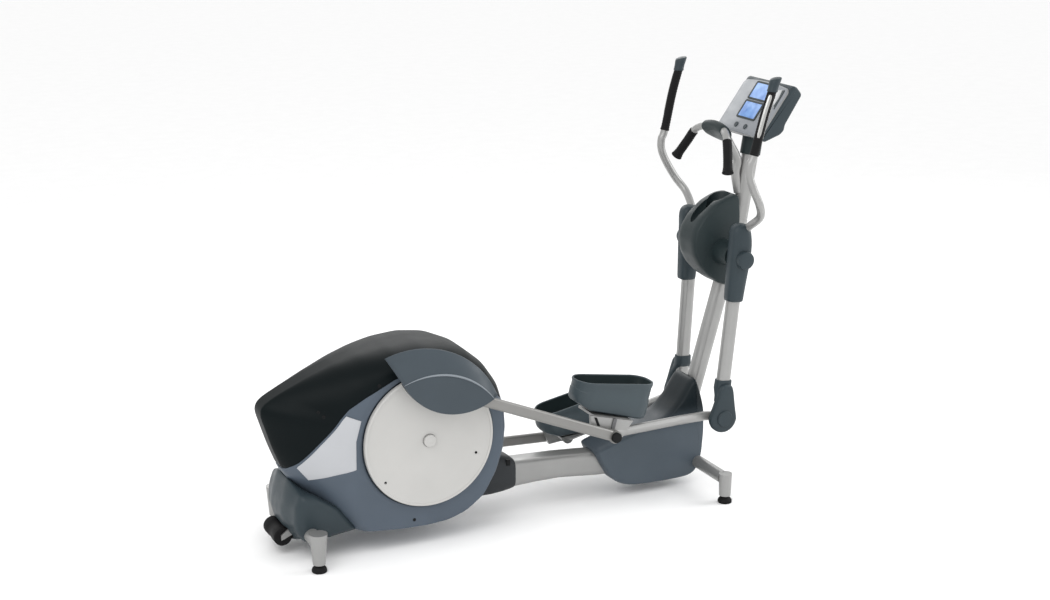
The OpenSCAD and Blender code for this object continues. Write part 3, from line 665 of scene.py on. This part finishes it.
# ---------------------------------------------------------------- rear casing
# Side-view outlines in millimetres: X from the crank axis, Z from the floor
CASING_OUTLINE = [(-606, 566), (-592, 594), (-520, 632), (-420, 677), (-314, 718), (-220, 746),
                  (-110, 768), (10, 777), (110, 765), (200, 726), (275, 664), (325, 590),
                  (350, 500), (354, 420), (340, 330), (305, 250), (250, 175), (175, 118),
                  (90, 84), (0, 76), (-111, 76), (-300, 84), (-400, 176), (-516, 306),
                  (-560, 420)]
CASING_WIDE = [(300, 424), (292, 490), (262, 560), (214, 628), (150, 680), (80, 708), (4, 718),
               (-70, 708), (-140, 680), (-205, 634), (-255, 570), (-284, 500), (-292, 424),
               (-292, 340), (-285, 200), (-262, 98), (-100, 83), (0, 82), (80, 90), (150, 112),
               (225, 165), (275, 260), (297, 350)]
DIVIDER = [(-540, 330), (-492, 362), (-309, 583), (-243, 624), (-127, 682), (0, 704),
           (110, 696), (220, 636), (310, 540), (352, 520)]
PANEL_INNER = [(-262, 553), (-288, 460), (-290, 335)]
PANEL_OUTER = [(-318, 562), (-489, 354), (-446, 300)]
OPENING_R = 0.266
FLANK_Y, RIDGE_Y = 0.205, 0.038


def ray_radius(chain, theta, closed=False):
    """Distance from the crank axis, at an angle, to a chain of points; None where it misses"""
    d = Vector((cos(theta), sin(theta)))
    best = None
    pts = [Vector((x / 1000.0, z / 1000.0 - HUB_Z)) for x, z in chain]
    pairs = list(zip(pts, pts[1:] + pts[:1])) if closed else list(zip(pts, pts[1:]))
    for a, b in pairs:
        e = b - a
        det = d.x * -e.y + d.y * e.x
        if abs(det) < 1e-12:
            continue
        r = (a.x * -e.y + a.y * e.x) / det
        t = (d.x * a.y - d.y * a.x) / det
        if r > 0 and -1e-9 <= t <= 1 + 1e-9:
            best = r if best is None else max(best, r)
    return best


def smoothed_radii(chain, angles, closed, times):
    r = [ray_radius(chain, a, closed) for a in angles]
    for _ in range(times):
        r = [v if v is None else
             (v * 2 + (r[i - 1] or v) + (r[(i + 1) % len(r)] or v)) / 4
             for i, v in enumerate(r)]
    return r


class Flank:
    """Half width of the casing at a radius on a ray: flat, then crowned over to the ridge"""
    def __init__(self, angles, closed=True):
        self.angles = angles
        self.edge = smoothed_radii(CASING_OUTLINE, angles, closed, 3)
        self.wide = smoothed_radii(CASING_WIDE, angles, closed, 6)

    def y(self, i, r):
        lo, hi = min(self.wide[i], self.edge[i] - 0.003), self.edge[i]
        if r <= lo:
            return FLANK_Y
        t = min(1.0, (r - lo) / (hi - lo))
        far = min(1.0, max(0.0, (hi - lo - 0.08) / 0.2))
        p = 2.0 - 0.72 * far
        return RIDGE_Y + (FLANK_Y - RIDGE_Y) * (1 - t ** p) ** (1 / p)

    def point(self, i, r, lift=0.0):
        a = self.angles[i]
        return (HUB_X + r * cos(a), -(self.y(i, r) + lift), HUB_Z + r * sin(a))


def flip_y(rows):
    return [[(x, -y, z) for x, y, z in row] for row in rows]


def thick_sheet(name, rows, look, body, stands_for, closed, thick=0.003, angle=55):
    v, f = skin(rows, closed=closed, caps=False)
    o = make_piece(name, v, f, look, body, stands_for, angle=angle)
    w = o.modifiers.new("wall", "SOLIDIFY")
    w.thickness, w.offset = thick, -1.0
    return o


def casing():
    count = 288
    angles = turns(count)
    fl = Flank(angles)
    seam = smoothed_radii(DIVIDER, angles, False, 2)
    steps = 26
    rows = [[] for _ in range(steps + 6)]
    for i, a in enumerate(angles):
        top = seam[i] is not None and seam[i] < fl.edge[i] - 0.004
        end = seam[i] - 0.0008 if top else fl.edge[i]
        c, s = cos(a), sin(a)
        chain = [(HUB_X + 0.235 * c, -0.1905, HUB_Z + 0.235 * s),
                 (HUB_X + OPENING_R * c, -0.1905, HUB_Z + OPENING_R * s),
                 (HUB_X + OPENING_R * c, -0.2035, HUB_Z + OPENING_R * s)]
        for k in range(steps):
            u = k / (steps - 1)
            u = 1 - (1 - u) ** 1.6
            chain.append(fl.point(i, OPENING_R + 0.0018 + (end - OPENING_R - 0.0018) * u))
        x, y, z = chain[-1]
        if top:
            chain += [(x, y + 0.003, z), (x - 0.002 * c, y + 0.006, z - 0.002 * s),
                      (x - 0.004 * c, y + 0.008, z - 0.004 * s)]
        else:
            chain += [(x, y * 0.66, z), (x, y * 0.33, z), (x, -0.0002, z)]
        for k, p in enumerate(chain):
            rows[k].append(p)
    for side in SIDES:
        use = rows if side == "right" else flip_y(rows)
        thick_sheet(side + "_flank", use, "slate", "base", [side + "_side_shell"], True)

    inside = [i for i in range(count)
              if seam[i] is not None and seam[i] < fl.edge[i] - 0.004]
    cut = next(n for n, i in enumerate(inside) if (i - 1) % count not in inside)
    inside = inside[cut:] + inside[:cut]
    strips = []
    for k in range(22):
        u = 1 - (1 - k / 21) ** 1.7
        strips.append([fl.point(i, seam[i] + 0.0008 + (fl.edge[i] - seam[i] - 0.0008) * u)
                       for i in inside])
    lip = [[(x, y + 0.005, z) for x, y, z in strips[0]]]
    brow = [[(x, y * q, z) for x, y, z in strips[-1]] for q in (0.8, 0.4, 0.0)]
    near = lip + strips + brow
    far = [[(x, -y, z) for x, y, z in row] for row in reversed(near[:-1])]
    thick_sheet("casing_crown", near + far, "dark", "base", ["top_shell"], False)

    lo, hi = radians(157.2), radians(194.8)
    fan = [lo + (hi - lo) * i / 60 for i in range(61)]
    fp = Flank(fan, True)
    inner = [ray_radius(PANEL_INNER, a) for a in fan]
    outer = [ray_radius(PANEL_OUTER, a) for a in fan]
    grid = []
    for k in range(25):
        u = k / 24
        grid.append([fp.point(i, inner[i] + (outer[i] - inner[i]) * u, 0.0018)
                     for i in range(61)])
    for side in SIDES:
        use = grid if side == "right" else flip_y(grid)
        o = thick_sheet(side + "_accent_panel", use, "panel", "base",
                        ["accent_panels"] if side == "right" else (), False,
                        0.0016)
        b = o.modifiers.new("edge", "BEVEL")
        b.width, b.segments, b.limit_method = 0.0006, 2, "ANGLE"


casing()


# ---------------------------------------------------------------- shrouds
MAST_LEAF = [(1430, 1216), (1380, 1212), (1320, 1186), (1262, 1138), (1228, 1085),
             (1217, 1035), (1226, 978), (1252, 930), (1292, 888), (1345, 852), (1398, 832),
             (1426, 960), (1436, 1060), (1438, 1130)]
FRONT_OUTLINE = [(777, 214), (800, 165), (841, 94), (897, 52), (950, 38), (1030, 33),
                 (1109, 33), (1200, 36), (1236, 44), (1262, 72), (1280, 130), (1288, 230),
                 (1286, 325), (1274, 375), (1260, 420), (1243, 468), (1226, 462), (1200, 424),
                 (1165, 368), (1110, 316), (1010, 284), (918, 260), (850, 238)]
SLEEVE = [(-178, -5, 36, 32), (-170, -5, 37, 33), (-120, -5, 39, 34), (-45, -4, 44, 36),
          (0, -3, 47, 36.4), (60, -4, 47, 36.4), (95, -10, 45, 36), (118, -12, 40, 34),
          (132, -12, 32, 30), (139, -10, 22, 24), (141, -9, 12, 14)]


def cut_with(obj, cutter):
    """Takes one closed piece out of another, and leaves plain mesh behind"""
    m = obj.modifiers.new("cut", "BOOLEAN")
    m.operation, m.solver, m.object = "DIFFERENCE", "EXACT", cutter
    bpy.context.view_layer.update()
    me = bpy.data.meshes.new_from_object(
        obj.evaluated_get(bpy.context.evaluated_depsgraph_get()))
    obj.modifiers.clear()
    obj.data = me
    bpy.data.objects.remove(cutter)


def cutter_from(verts, faces):
    me = bpy.data.meshes.new("cutter")
    me.from_pydata([tuple(v) for v in verts], [], faces)
    bm = bmesh.new()
    bm.from_mesh(me)
    bmesh.ops.recalc_face_normals(bm, faces=bm.faces)
    bm.to_mesh(me)
    bm.free()
    o = bpy.data.objects.new("cutter", me)
    bpy.context.scene.collection.objects.link(o)
    return o


def super_ring(cx, cy, hx, hy, z, n=56, power=2.8):
    ring = []
    for a in turns(n):
        ring.append((cx + hx * signed_power(cos(a), 2 / power),
                     cy + hy * signed_power(sin(a), 2 / power), z))
    return ring


def mast_cover():
    o = crowned("mast_leaf", outline_mm(MAST_LEAF, 120, 4), 0.070, "teal", "base",
                ["mast_shroud"], crown=0.036, steps=9, bevel_in=0.012)
    lean = radians(14)
    rings = []
    for h, r in ((0.004, 0.030), (0.006, 0.038), (0.10, 0.0385), (0.140, 0.0400),
                 (0.20, 0.0440), (0.30, 0.048)):
        c = Vector((1.325 + HUB_X + h * sin(lean), 0, 1.030 + h * cos(lean)))
        rings.append([c + r * Vector((cos(a) * cos(lean), sin(a),
                                      -cos(a) * sin(lean)))
                      for a in turns(48)])
    cut_with(o, cutter_from(*skin(rings)))
    way, rise = Vector((0.766, 0, 0.643)), Vector((-0.643, 0, 0.766))
    mid = Vector((1.306 + HUB_X, 0, 1.158))
    rings = []
    for k in range(25):
        lat = -pi / 2 + pi * k / 24
        r = max(0.02, cos(lat))
        rings.append([mid + way * (0.082 * sin(lat))
                      + r * (rise * (0.036 * cos(a)) + Vector((0, 0.030 * sin(a), 0)))
                      for a in turns(36)])
    cut_with(o, cutter_from(*skin(rings)))
    for side in SIDES:
        prof = [(0.0160, 0.050), (0.056, 0.050), (0.0540, 0.068), (0.0500, 0.092),
                (0.0450, 0.148), (0.0430, 0.1545), (0.0160, 0.1550)]
        rings = lathe_y(prof, PIVOT_X, PIVOT_Z, out(side), 64)
        hoop(side + "_cross_tube", rings, "teal", "base", ())


def front_cover():
    for side in SIDES:
        crowned(side + "_front_cover", outline_mm(FRONT_OUTLINE, 120, 3), 0.084, "cover",
                "base", [side + "_front_shroud"], crown=0.040, steps=8,
                y_dir=out(side), bevel_in=0.014)


def sleeves(side):
    body, place = side + "_arm", arm_frame(side)
    rings = [super_ring(cx / 1000, -0.1955, hx / 1000, hy / 1000, z / 1000)
             for z, cx, hx, hy in SLEEVE]
    loft(side + "_sleeve_shell", rings, "slate_deep", body, [side + "_upper_sleeve"], place, subdiv=1)
    prof = [(0.0005, 0.2300), (0.0360, 0.2300), (0.0362, 0.2460), (0.0345, 0.2510),
            (0.0290, 0.2535), (0.0120, 0.2540), (0.0005, 0.2540)]
    loft(side + "_pivot_cap", lathe_y(prof, 0, 0, -1, 64), "slate_deep", body, (), place)
    collar = [(-508, 0, 33.5, 23.5), (-511, 0, 34.5, 24.5), (-530, 0, 35, 25),
              (-542, 0, 36, 25.5)]
    rings = [super_ring(cx / 1000, -0.1870, hx / 1000, hy / 1000, z / 1000)
             for z, cx, hx, hy in collar]
    rings += [super_ring(0.0, y, hx, hy, z, power=2.4) for z, y, hx, hy in
              ((-0.552, -0.1900, 0.0370, 0.0255), (-0.566, -0.1985, 0.0385, 0.0245),
               (-0.584, -0.2080, 0.0410, 0.0220), (-0.604, -0.2140, 0.0430, 0.0180),
               (-0.620, -0.2155, 0.0420, 0.0140))]
    loft(side + "_sleeve_collar", rings, "slate_deep", body, [side + "_lower_sleeve"], place)
    drop = []
    for a in turns(72):
        x, z = 62 * cos(a), 62 * sin(a)
        if z > 0:
            t = z / 62.0
            x, z = x * (1 - 0.30 * t) + copysign(14 * t ** 3, x), z * (1 + 1.30 * t)
        drop.append(Vector((x / 1000, z / 1000 - ARM_LEN)))
    drop = soften(resample(drop, 80), 4)
    crowned(side + "_sleeve_bulb", drop, 0.0165, "slate_deep", body, (),
            crown=0.012, steps=6, place=place @ Matrix.Translation((0, -0.2155, 0)),
            bevel_in=0.011)
    prof = [(0.0005, 0.2310), (0.0330, 0.2310), (0.0338, 0.2350), (0.0310, 0.2392),
            (0.0150, 0.2400), (0.0005, 0.2400)]
    loft(side + "_pin_cap", lathe_y(prof, 0, -ARM_LEN, -1, 56), "slate_deep", body, (), place)


def chain_points(p, q, bulge_by, n=26):
    """Points from p to q along an arc that bulges to the left of the way"""
    p, q = Vector(p), Vector(q)
    c = (q - p).length
    u = (q - p) / c
    w = Vector((-u.y, u.x))
    r = (c * c / 4 + bulge_by ** 2) / (2 * bulge_by)
    half = asin(c / 2 / r)
    return [(p + q) / 2 + u * r * sin(a) + w * (r * cos(a) - (r - bulge_by))
            for a in (-half + 2 * half * i / n for i in range(n + 1))]


def leaf(side):
    """Leaf-shaped cover of the big end: an upper bevel, a ridge painted pale as a highlight and a shallow
    lens
    """
    body, place = side + "_link", link_frame(side)
    upper = chain_points((-1.546, 0.080), (-1.062, 0.000), 0.098)
    ridge = chain_points((-1.463, -0.005), (-1.088, -0.012), 0.066)
    under = chain_points((-1.088, -0.012), (-1.463, -0.005), 0.083)
    rows = []
    for t, y in ((0.0, 0.2660), (0.03, 0.2700), (0.25, 0.2790), (0.5, 0.2880), (0.75, 0.2960),
                 (0.92, 0.3020), (1.0, 0.3045)):
        rows.append([(a.x + (b.x - a.x) * t, -y, a.y + (b.y - a.y) * t)
                     for a, b in zip(upper, ridge)])
    lens = []
    back = list(reversed(under))
    for k in range(9):
        t = k / 8
        dip = 0.0022 * sin(pi * t)
        lens.append([(a.x + (b.x - a.x) * t, -(0.3050 - dip), a.y + (b.y - a.y) * t)
                     for a, b in zip(ridge, back)])
    hem = [[(p.x, -y, p.y) for p in back] for y in (0.3030, 0.2960, 0.2760)]
    v, f = skin(rows + lens[1:] + hem, closed=False, caps=False)
    o = make_piece(side + "_leaf_cover", v, f, "leaf", body, [side + "_link_shroud"], place, angle=24)
    w = o.modifiers.new("wall", "SOLIDIFY")
    w.thickness, w.offset = 0.003, -1.0
    line = [Vector((p.x, -0.3046, p.y)) for p in ridge]

    def swell(t):
        return 0.0008 + 0.0034 * sin(pi * min(1.0, max(0.0, t)))
    # The raised ridge is painted pale: a painted highlight along its crest
    loft(side + "_leaf_ridge", sweep_rings(line, swell, 12), "edge", body, (), place)


mast_cover()
front_cover()
for side in SIDES:
    sleeves(side)
    leaf(side)


# ---------------------------------------------------------------- beam, socket, boot
def slab_ring(x, y_half, z_low, z_high, n=40, power=5.0):
    mid, half = (z_low + z_high) / 2, (z_high - z_low) / 2
    return [(x, y_half * signed_power(cos(a), 2 / power),
             mid + half * signed_power(sin(a), 2 / power))
            for a in turns(n)]


BEAM = [(-438, 88, 146), (60, 89, 146), (285, 92, 147), (300, 93, 200), (330, 94, 222),
        (380, 99, 220), (441, 106, 215), (530, 110, 212), (632, 111, 208), (740, 101, 201),
        (800, 95, 196), (950, 89, 181), (1100, 88, 165), (1229, 88, 165)]
SOCKET = [(262, 88, 262, 63), (330, 88, 256, 62), (380, 92, 249, 60), (412, 97, 238, 57),
          (428, 101, 226, 54), (434, 104, 221, 52)]


def beam_and_socket():
    rings = [slab_ring(x / 1000 + HUB_X, 0.0499, lo / 1000, hi / 1000) for x, lo, hi in BEAM]
    loft("beam_tube", rings, "silver", "base", ["main_beam"], angle=50)
    rings = [slab_ring(x / 1000 + HUB_X, w / 1000, lo / 1000, hi / 1000, 48, 4.0)
             for x, lo, hi, w in SOCKET]
    loft("beam_socket", rings, "socket", "base", ["beam_socket_cover"], angle=50)
    # Black plates standing in for the shadowed recesses in the socket's sides: painted shade
    for side in SIDES:
        y = out(side)
        rings = [[(HUB_X + 0.398 + dx, y * yy, 0.222 + dz) for dx, dz in
                  ((-0.009, -0.013), (0.009, -0.015), (0.009, 0.010), (-0.009, 0.013))]
                 for yy in (0.050, 0.0605)]
        loft(side + "_socket_recess_shade", rings, "black", "base", (), bevel=0.002)


BOOT_TALL = [(-512, 304), (-474, 266), (-400, 176), (-330, 90), (-440, 62), (-505, 52),
             (-534, 112), (-545, 160), (-534, 236)]
BOOT_LOW = [(-500, 268), (-440, 256), (-350, 196), (-272, 98), (-400, 82), (-484, 74),
            (-516, 112), (-526, 152), (-520, 214)]


def boot():
    tall, low = outline_mm(BOOT_TALL, 90, 3), outline_mm(BOOT_LOW, 90, 3)
    rings = []
    for k in range(41):
        y = -0.190 + 0.380 * k / 40
        t = min(1.0, max(0.0, (abs(y) - 0.050) / 0.110))
        t = t * t * (3 - 2 * t)
        ring = [a.lerp(b, t) for a, b in zip(tall, low)]
        end = max(0.0, (abs(y) - 0.150) / 0.040)
        if end:
            mid = sum(ring, Vector((0, 0))) / len(ring)
            ring = [mid.lerp(p, 0.66 + 0.34 * sqrt(max(0.0, 1 - end ** 2)))
                    for p in ring]
        rings.append([(p.x, y, p.y) for p in ring])
    o = loft("boot_shell", rings, "slate_deep", "base", ["rear_boot"], angle=60)
    rings = lathe_y([(0.0005, -0.084), (0.042, -0.084), (0.042, 0.084), (0.0005, 0.084)],
                    HUB_X - 0.540, 0.074, 1.0, 48)
    cut_with(o, cutter_from(*skin(rings)))
    prof = [(0.0065, -0.070), (0.0330, -0.070), (0.0358, -0.067), (0.0358, -0.030),
            (0.0345, -0.028), (0.0345, 0.028), (0.0358, 0.030), (0.0358, 0.067),
            (0.0330, 0.070), (0.0065, 0.070)]
    rings = lathe_y(prof, HUB_X - 0.540, 0.074, 1.0, 56)
    hoop("roller_tyre", rings, "rubber", "roller_body", ["transport_roller"])


# ---------------------------------------------------------------- casing screws
def casing_screws():
    first = True
    for n, (x, z) in enumerate(((-396, 558), (-412, 574), (-191, 664), (-62, 112),
                                (236, 600))):
        theta = atan2(z / 1000 - HUB_Z, x / 1000)
        fl = Flank([theta], True)
        r = hypot(x / 1000, z / 1000 - HUB_Z)
        p = Vector(fl.point(0, r))
        slope = (fl.y(0, r + 0.004) - fl.y(0, r - 0.004)) / 0.008
        radial = Vector((cos(theta), 0, sin(theta)))
        axis = (Vector((0, -1, 0)) - radial * slope).normalized()
        side = axis.orthogonal().normalized()
        up = axis.cross(side)
        rings = []
        for rr, h in ((0.0002, -0.003), (0.0066, -0.003), (0.0066, 0.0008), (0.0056, 0.0016),
                      (0.0034, 0.0014), (0.0032, 0.0002), (0.0002, 0.0002)):
            rings.append([p + axis * h + rr * (side * cos(a) + up * sin(a))
                          for a in turns(20)])
        for tag in SIDES:
            use = rings if tag == "right" else [[Vector((q.x, -q.y, q.z)) for q in ring]
                                                for ring in rings]
            loft("%s_shell_screw_%d" % (tag, n), use, "black", "base",
                       ["shell_screws"] if first else ())
            first = False


# ---------------------------------------------------------------- handlebar
BAR_CENTRE, BAR_CORNER, BAR_OUTER = mm(828, 0, 1492), mm(808, -118, 1466), mm(768, -200, 1345)
STEM = [mm(943, 0, 1212), mm(928, 0, 1290), mm(934, 0, 1346), mm(898, 0, 1412),
        mm(862, 0, 1468), BAR_CENTRE]


def handlebar():
    right = [BAR_CENTRE, mm(824, -62, 1486), BAR_CORNER, mm(790, -160, 1408), BAR_OUTER]
    full = [(x, -y, z) for x, y, z in right[:0:-1]] + right
    loft("bar_tube", sweep_rings(spline(full, 12), 0.015, 28), "silver", "base", ["handlebar"])
    loft("bar_stem", sweep_rings(spline(STEM, 14), 0.018, 28), "silver", "base", ())
    for side in SIDES:
        track = [p for p in spline(full, 24) if p.y * out(side) > 0.128]
        track.sort(key=lambda p: -p.z)
        track.append(track[-1] + (track[-1] - track[-2]).normalized() * 0.004)

        def radius(t):
            flare = 0.0045 * max(0.0, (t - 0.80) / 0.20) ** 1.5
            ring = 0.0006 * sin(t * 90)
            return 0.0185 + flare + ring
        loft(side + "_bar_grip", sweep_rings(track, radius, 32), "rubber", "base",
                   ["handlebar_grips"] if side == "right" else ())


def hood():
    """Saddle over the crossing of the stem and the two grips"""
    along, across = Vector((0.66, 0, -0.75)), Vector((0.75, 0, 0.66))
    rings = []
    for k in range(41):
        u = -1 + 2 * k / 40
        end = sqrt(max(0.0, 1 - max(0.0, (abs(u) - 0.86) / 0.14) ** 2)) * 0.94 + 0.06
        c = Vector(BAR_CENTRE) + along * (0.026 * (1 - u * u)) - Vector((0, 0, 0.014 * u * u))
        c.y = 0.080 * u
        long_r, short_r = 0.052 * (1 - 0.50 * u * u) * end, 0.0235 * (1 - 0.12 * u * u) * end
        ring = []
        for a in turns(40):
            ring.append(c + along * (long_r * signed_power(cos(a), 0.8))
                        + across * (short_r * signed_power(sin(a), 0.8)))
        rings.append(ring)
    loft("hood_shell", rings, "teal", "base", ["handlebar_hood"])


# ---------------------------------------------------------------- console
CONSOLE_SIDE = [(1449, 1455), (1592, 1655), (1602, 1660), (1616, 1654), (1638, 1628),
                (1638, 1618), (1566, 1506), (1562, 1484), (1545, 1468), (1474, 1443)]


def refine(points, step=0.012):
    """Adds points along the straight runs, so that an arched edge stays smooth"""
    result = []
    for (xa, ya), (xb, yb) in zip(points, points[1:] + points[:1]):
        n = max(1, int(hypot(xb - xa, yb - ya) / step))
        result += [(xa + (xb - xa) * k / n, ya + (yb - ya) * k / n) for k in range(n)]
    return result


def console():
    place = face_frame()
    crowned("console_body", outline_mm(CONSOLE_SIDE, 130, 2), 0.170, "slate_deep", "base",
            ["console_housing"], crown=0.010, steps=5, bevel_in=0.008)
    base = refine(rounded_plan(0.003, 0.243, -0.163, 0.163, 0.014, 0.020, 7))

    def arch(points, d=0.0):
        done = []
        for x, y in points:
            s = 1 - d / 0.12
            xx, yy = 0.123 + (x - 0.123) * s, y * (1 - d / 0.163)
            lift = 0.012 * (yy / 0.163) ** 2 * max(0.0, (xx - 0.123) / 0.12)
            done.append((xx - lift, yy))
        return done
    rings = [[(x, y, z) for x, y in arch(base, d)] for d, z in
             ((0.0, 0.0004), (0.0, 0.0040), (0.0006, 0.0056), (0.0020, 0.0064))]
    plate = loft("console_plate", rings, "console", "base", ["console_face"], place, angle=50)
    for ky in (-0.034, 0.034):
        ring = [(0.034 + 0.0113 * cos(a), ky + 0.0113 * sin(a))
                for a in turns(40)]
        v, f = skin([[place @ Vector((x, y, z)) for x, y in ring] for z in (0.003, 0.020)])
        cut_with(plate, cutter_from(v, f))
    for i, x0 in enumerate((0.070, 0.158)):
        outer = rounded_plan(x0 - 0.005, x0 + 0.079, -0.069, 0.069, 0.008, 0.008, 7)
        inner = rounded_plan(x0 + 0.003, x0 + 0.071, -0.059, 0.059, 0.004, 0.004, 7)
        rings = [[(x, y, 0.0060) for x, y in outer], [(x, y, 0.0086) for x, y in outer],
                 [(x, y, 0.0092) for x, y in inner], [(x, y, 0.0078) for x, y in inner]]
        hoop("screen_bezel_%d" % i, rings, "teal", "base", (), place)
        rings = [[(x, y, z) for x, y in inner] for z in (0.0062, 0.0082)]
        loft("screen_%d" % i, rings, "lcd", "base", ["console_screens"] if i == 0 else (), place)
    window = [(0.132, -0.150), (0.226, -0.146), (0.216, -0.086), (0.196, -0.082)]
    tri = soften(resample(window, 40), 1)
    rings = [[(p.x, p.y, z) for p in shrink(tri, d)] for d, z in
             ((0.0, 0.0060), (0.0, 0.0076), (0.0010, 0.0082))]
    loft("side_window", rings, "window", "base", (), place)
    rings = [[(x, y, z) for x, y in arch(base, d)] for d, z in
             ((-0.0015, -0.0030), (-0.0020, 0.0000), (-0.0015, 0.0030), (0.0004, 0.0034))]
    loft("console_trim", rings, "silver", "base", (), place, angle=50)


# ---------------------------------------------------------------- link details, feet
def link_details(side):
    body, place = side + "_link", link_frame(side)
    x, z = -0.524, -0.110
    prof = [(0.0005, 0.3000), (0.0205, 0.3000), (0.0210, 0.3085), (0.0195, 0.3115),
            (0.0130, 0.3128), (0.0005, 0.3130)]
    loft(side + "_knee_cap", lathe_y(prof, x, z, -1, 40), "black", body, (), place)
    rings = [[(x - 0.008 + dx, -y, dz) for dx, dz in
              ((0.0, -0.112), (0.016, -0.112), (0.016, -0.046), (0.0, -0.046))]
             for y in (0.236, 0.264)]
    loft(side + "_pedal_post", rings, "iron", body, (), place, bevel=0.002)
    # A thin black strip along the gusset plate's edge: painted shade for the shadowed gap there
    rings = [[(-0.618 + dx, -y, dz) for dx, dz in
              ((0.0, -0.050), (0.012, -0.050), (0.048, -0.100), (0.036, -0.100))]
             for y in (0.2575, 0.2600)]
    loft(side + "_gusset_edge_shade", rings, "black", body, (), place)


def feet():
    spots = {"rear_right_foot": (-0.466, -0.268), "rear_left_foot": (-0.466, 0.268),
             "front_right_foot": (1.255, -0.304), "front_left_foot": (1.255, 0.304)}
    for node, (x, y) in spots.items():
        x += HUB_X
        prof = [(0.0005, 0.0), (0.0270, 0.0), (0.0288, 0.0020), (0.0288, 0.0090),
                (0.0275, 0.0110), (0.0275, 0.0130), (0.0230, 0.0190), (0.0140, 0.0250),
                (0.0110, 0.0290), (0.0060, 0.0292), (0.0060, 0.0800), (0.0005, 0.0800)]
        rings = [[(x + r * cos(a), y + r * sin(a), z)
                  for a in turns(40)] for r, z in prof]
        loft(node + "_pad", rings, "rubber", node + "_body", [node])


beam_and_socket()
boot()
casing_screws()
handlebar()
hood()
console()
feet()
for side in SIDES:
    link_details(side)

for name in ("mast", "rear_cross_leg", "front_cross_leg", "right_arm_tube", "left_arm_tube",
             "right_front_link", "left_front_link", "right_rear_link", "left_rear_link",
             "mast_neck_cover"):
    soft = NODES[name].modifiers.new("edge", "BEVEL")
    soft.width, soft.segments, soft.limit_method = 0.0012, 2, "ANGLE"
    soft.angle_limit = radians(50)
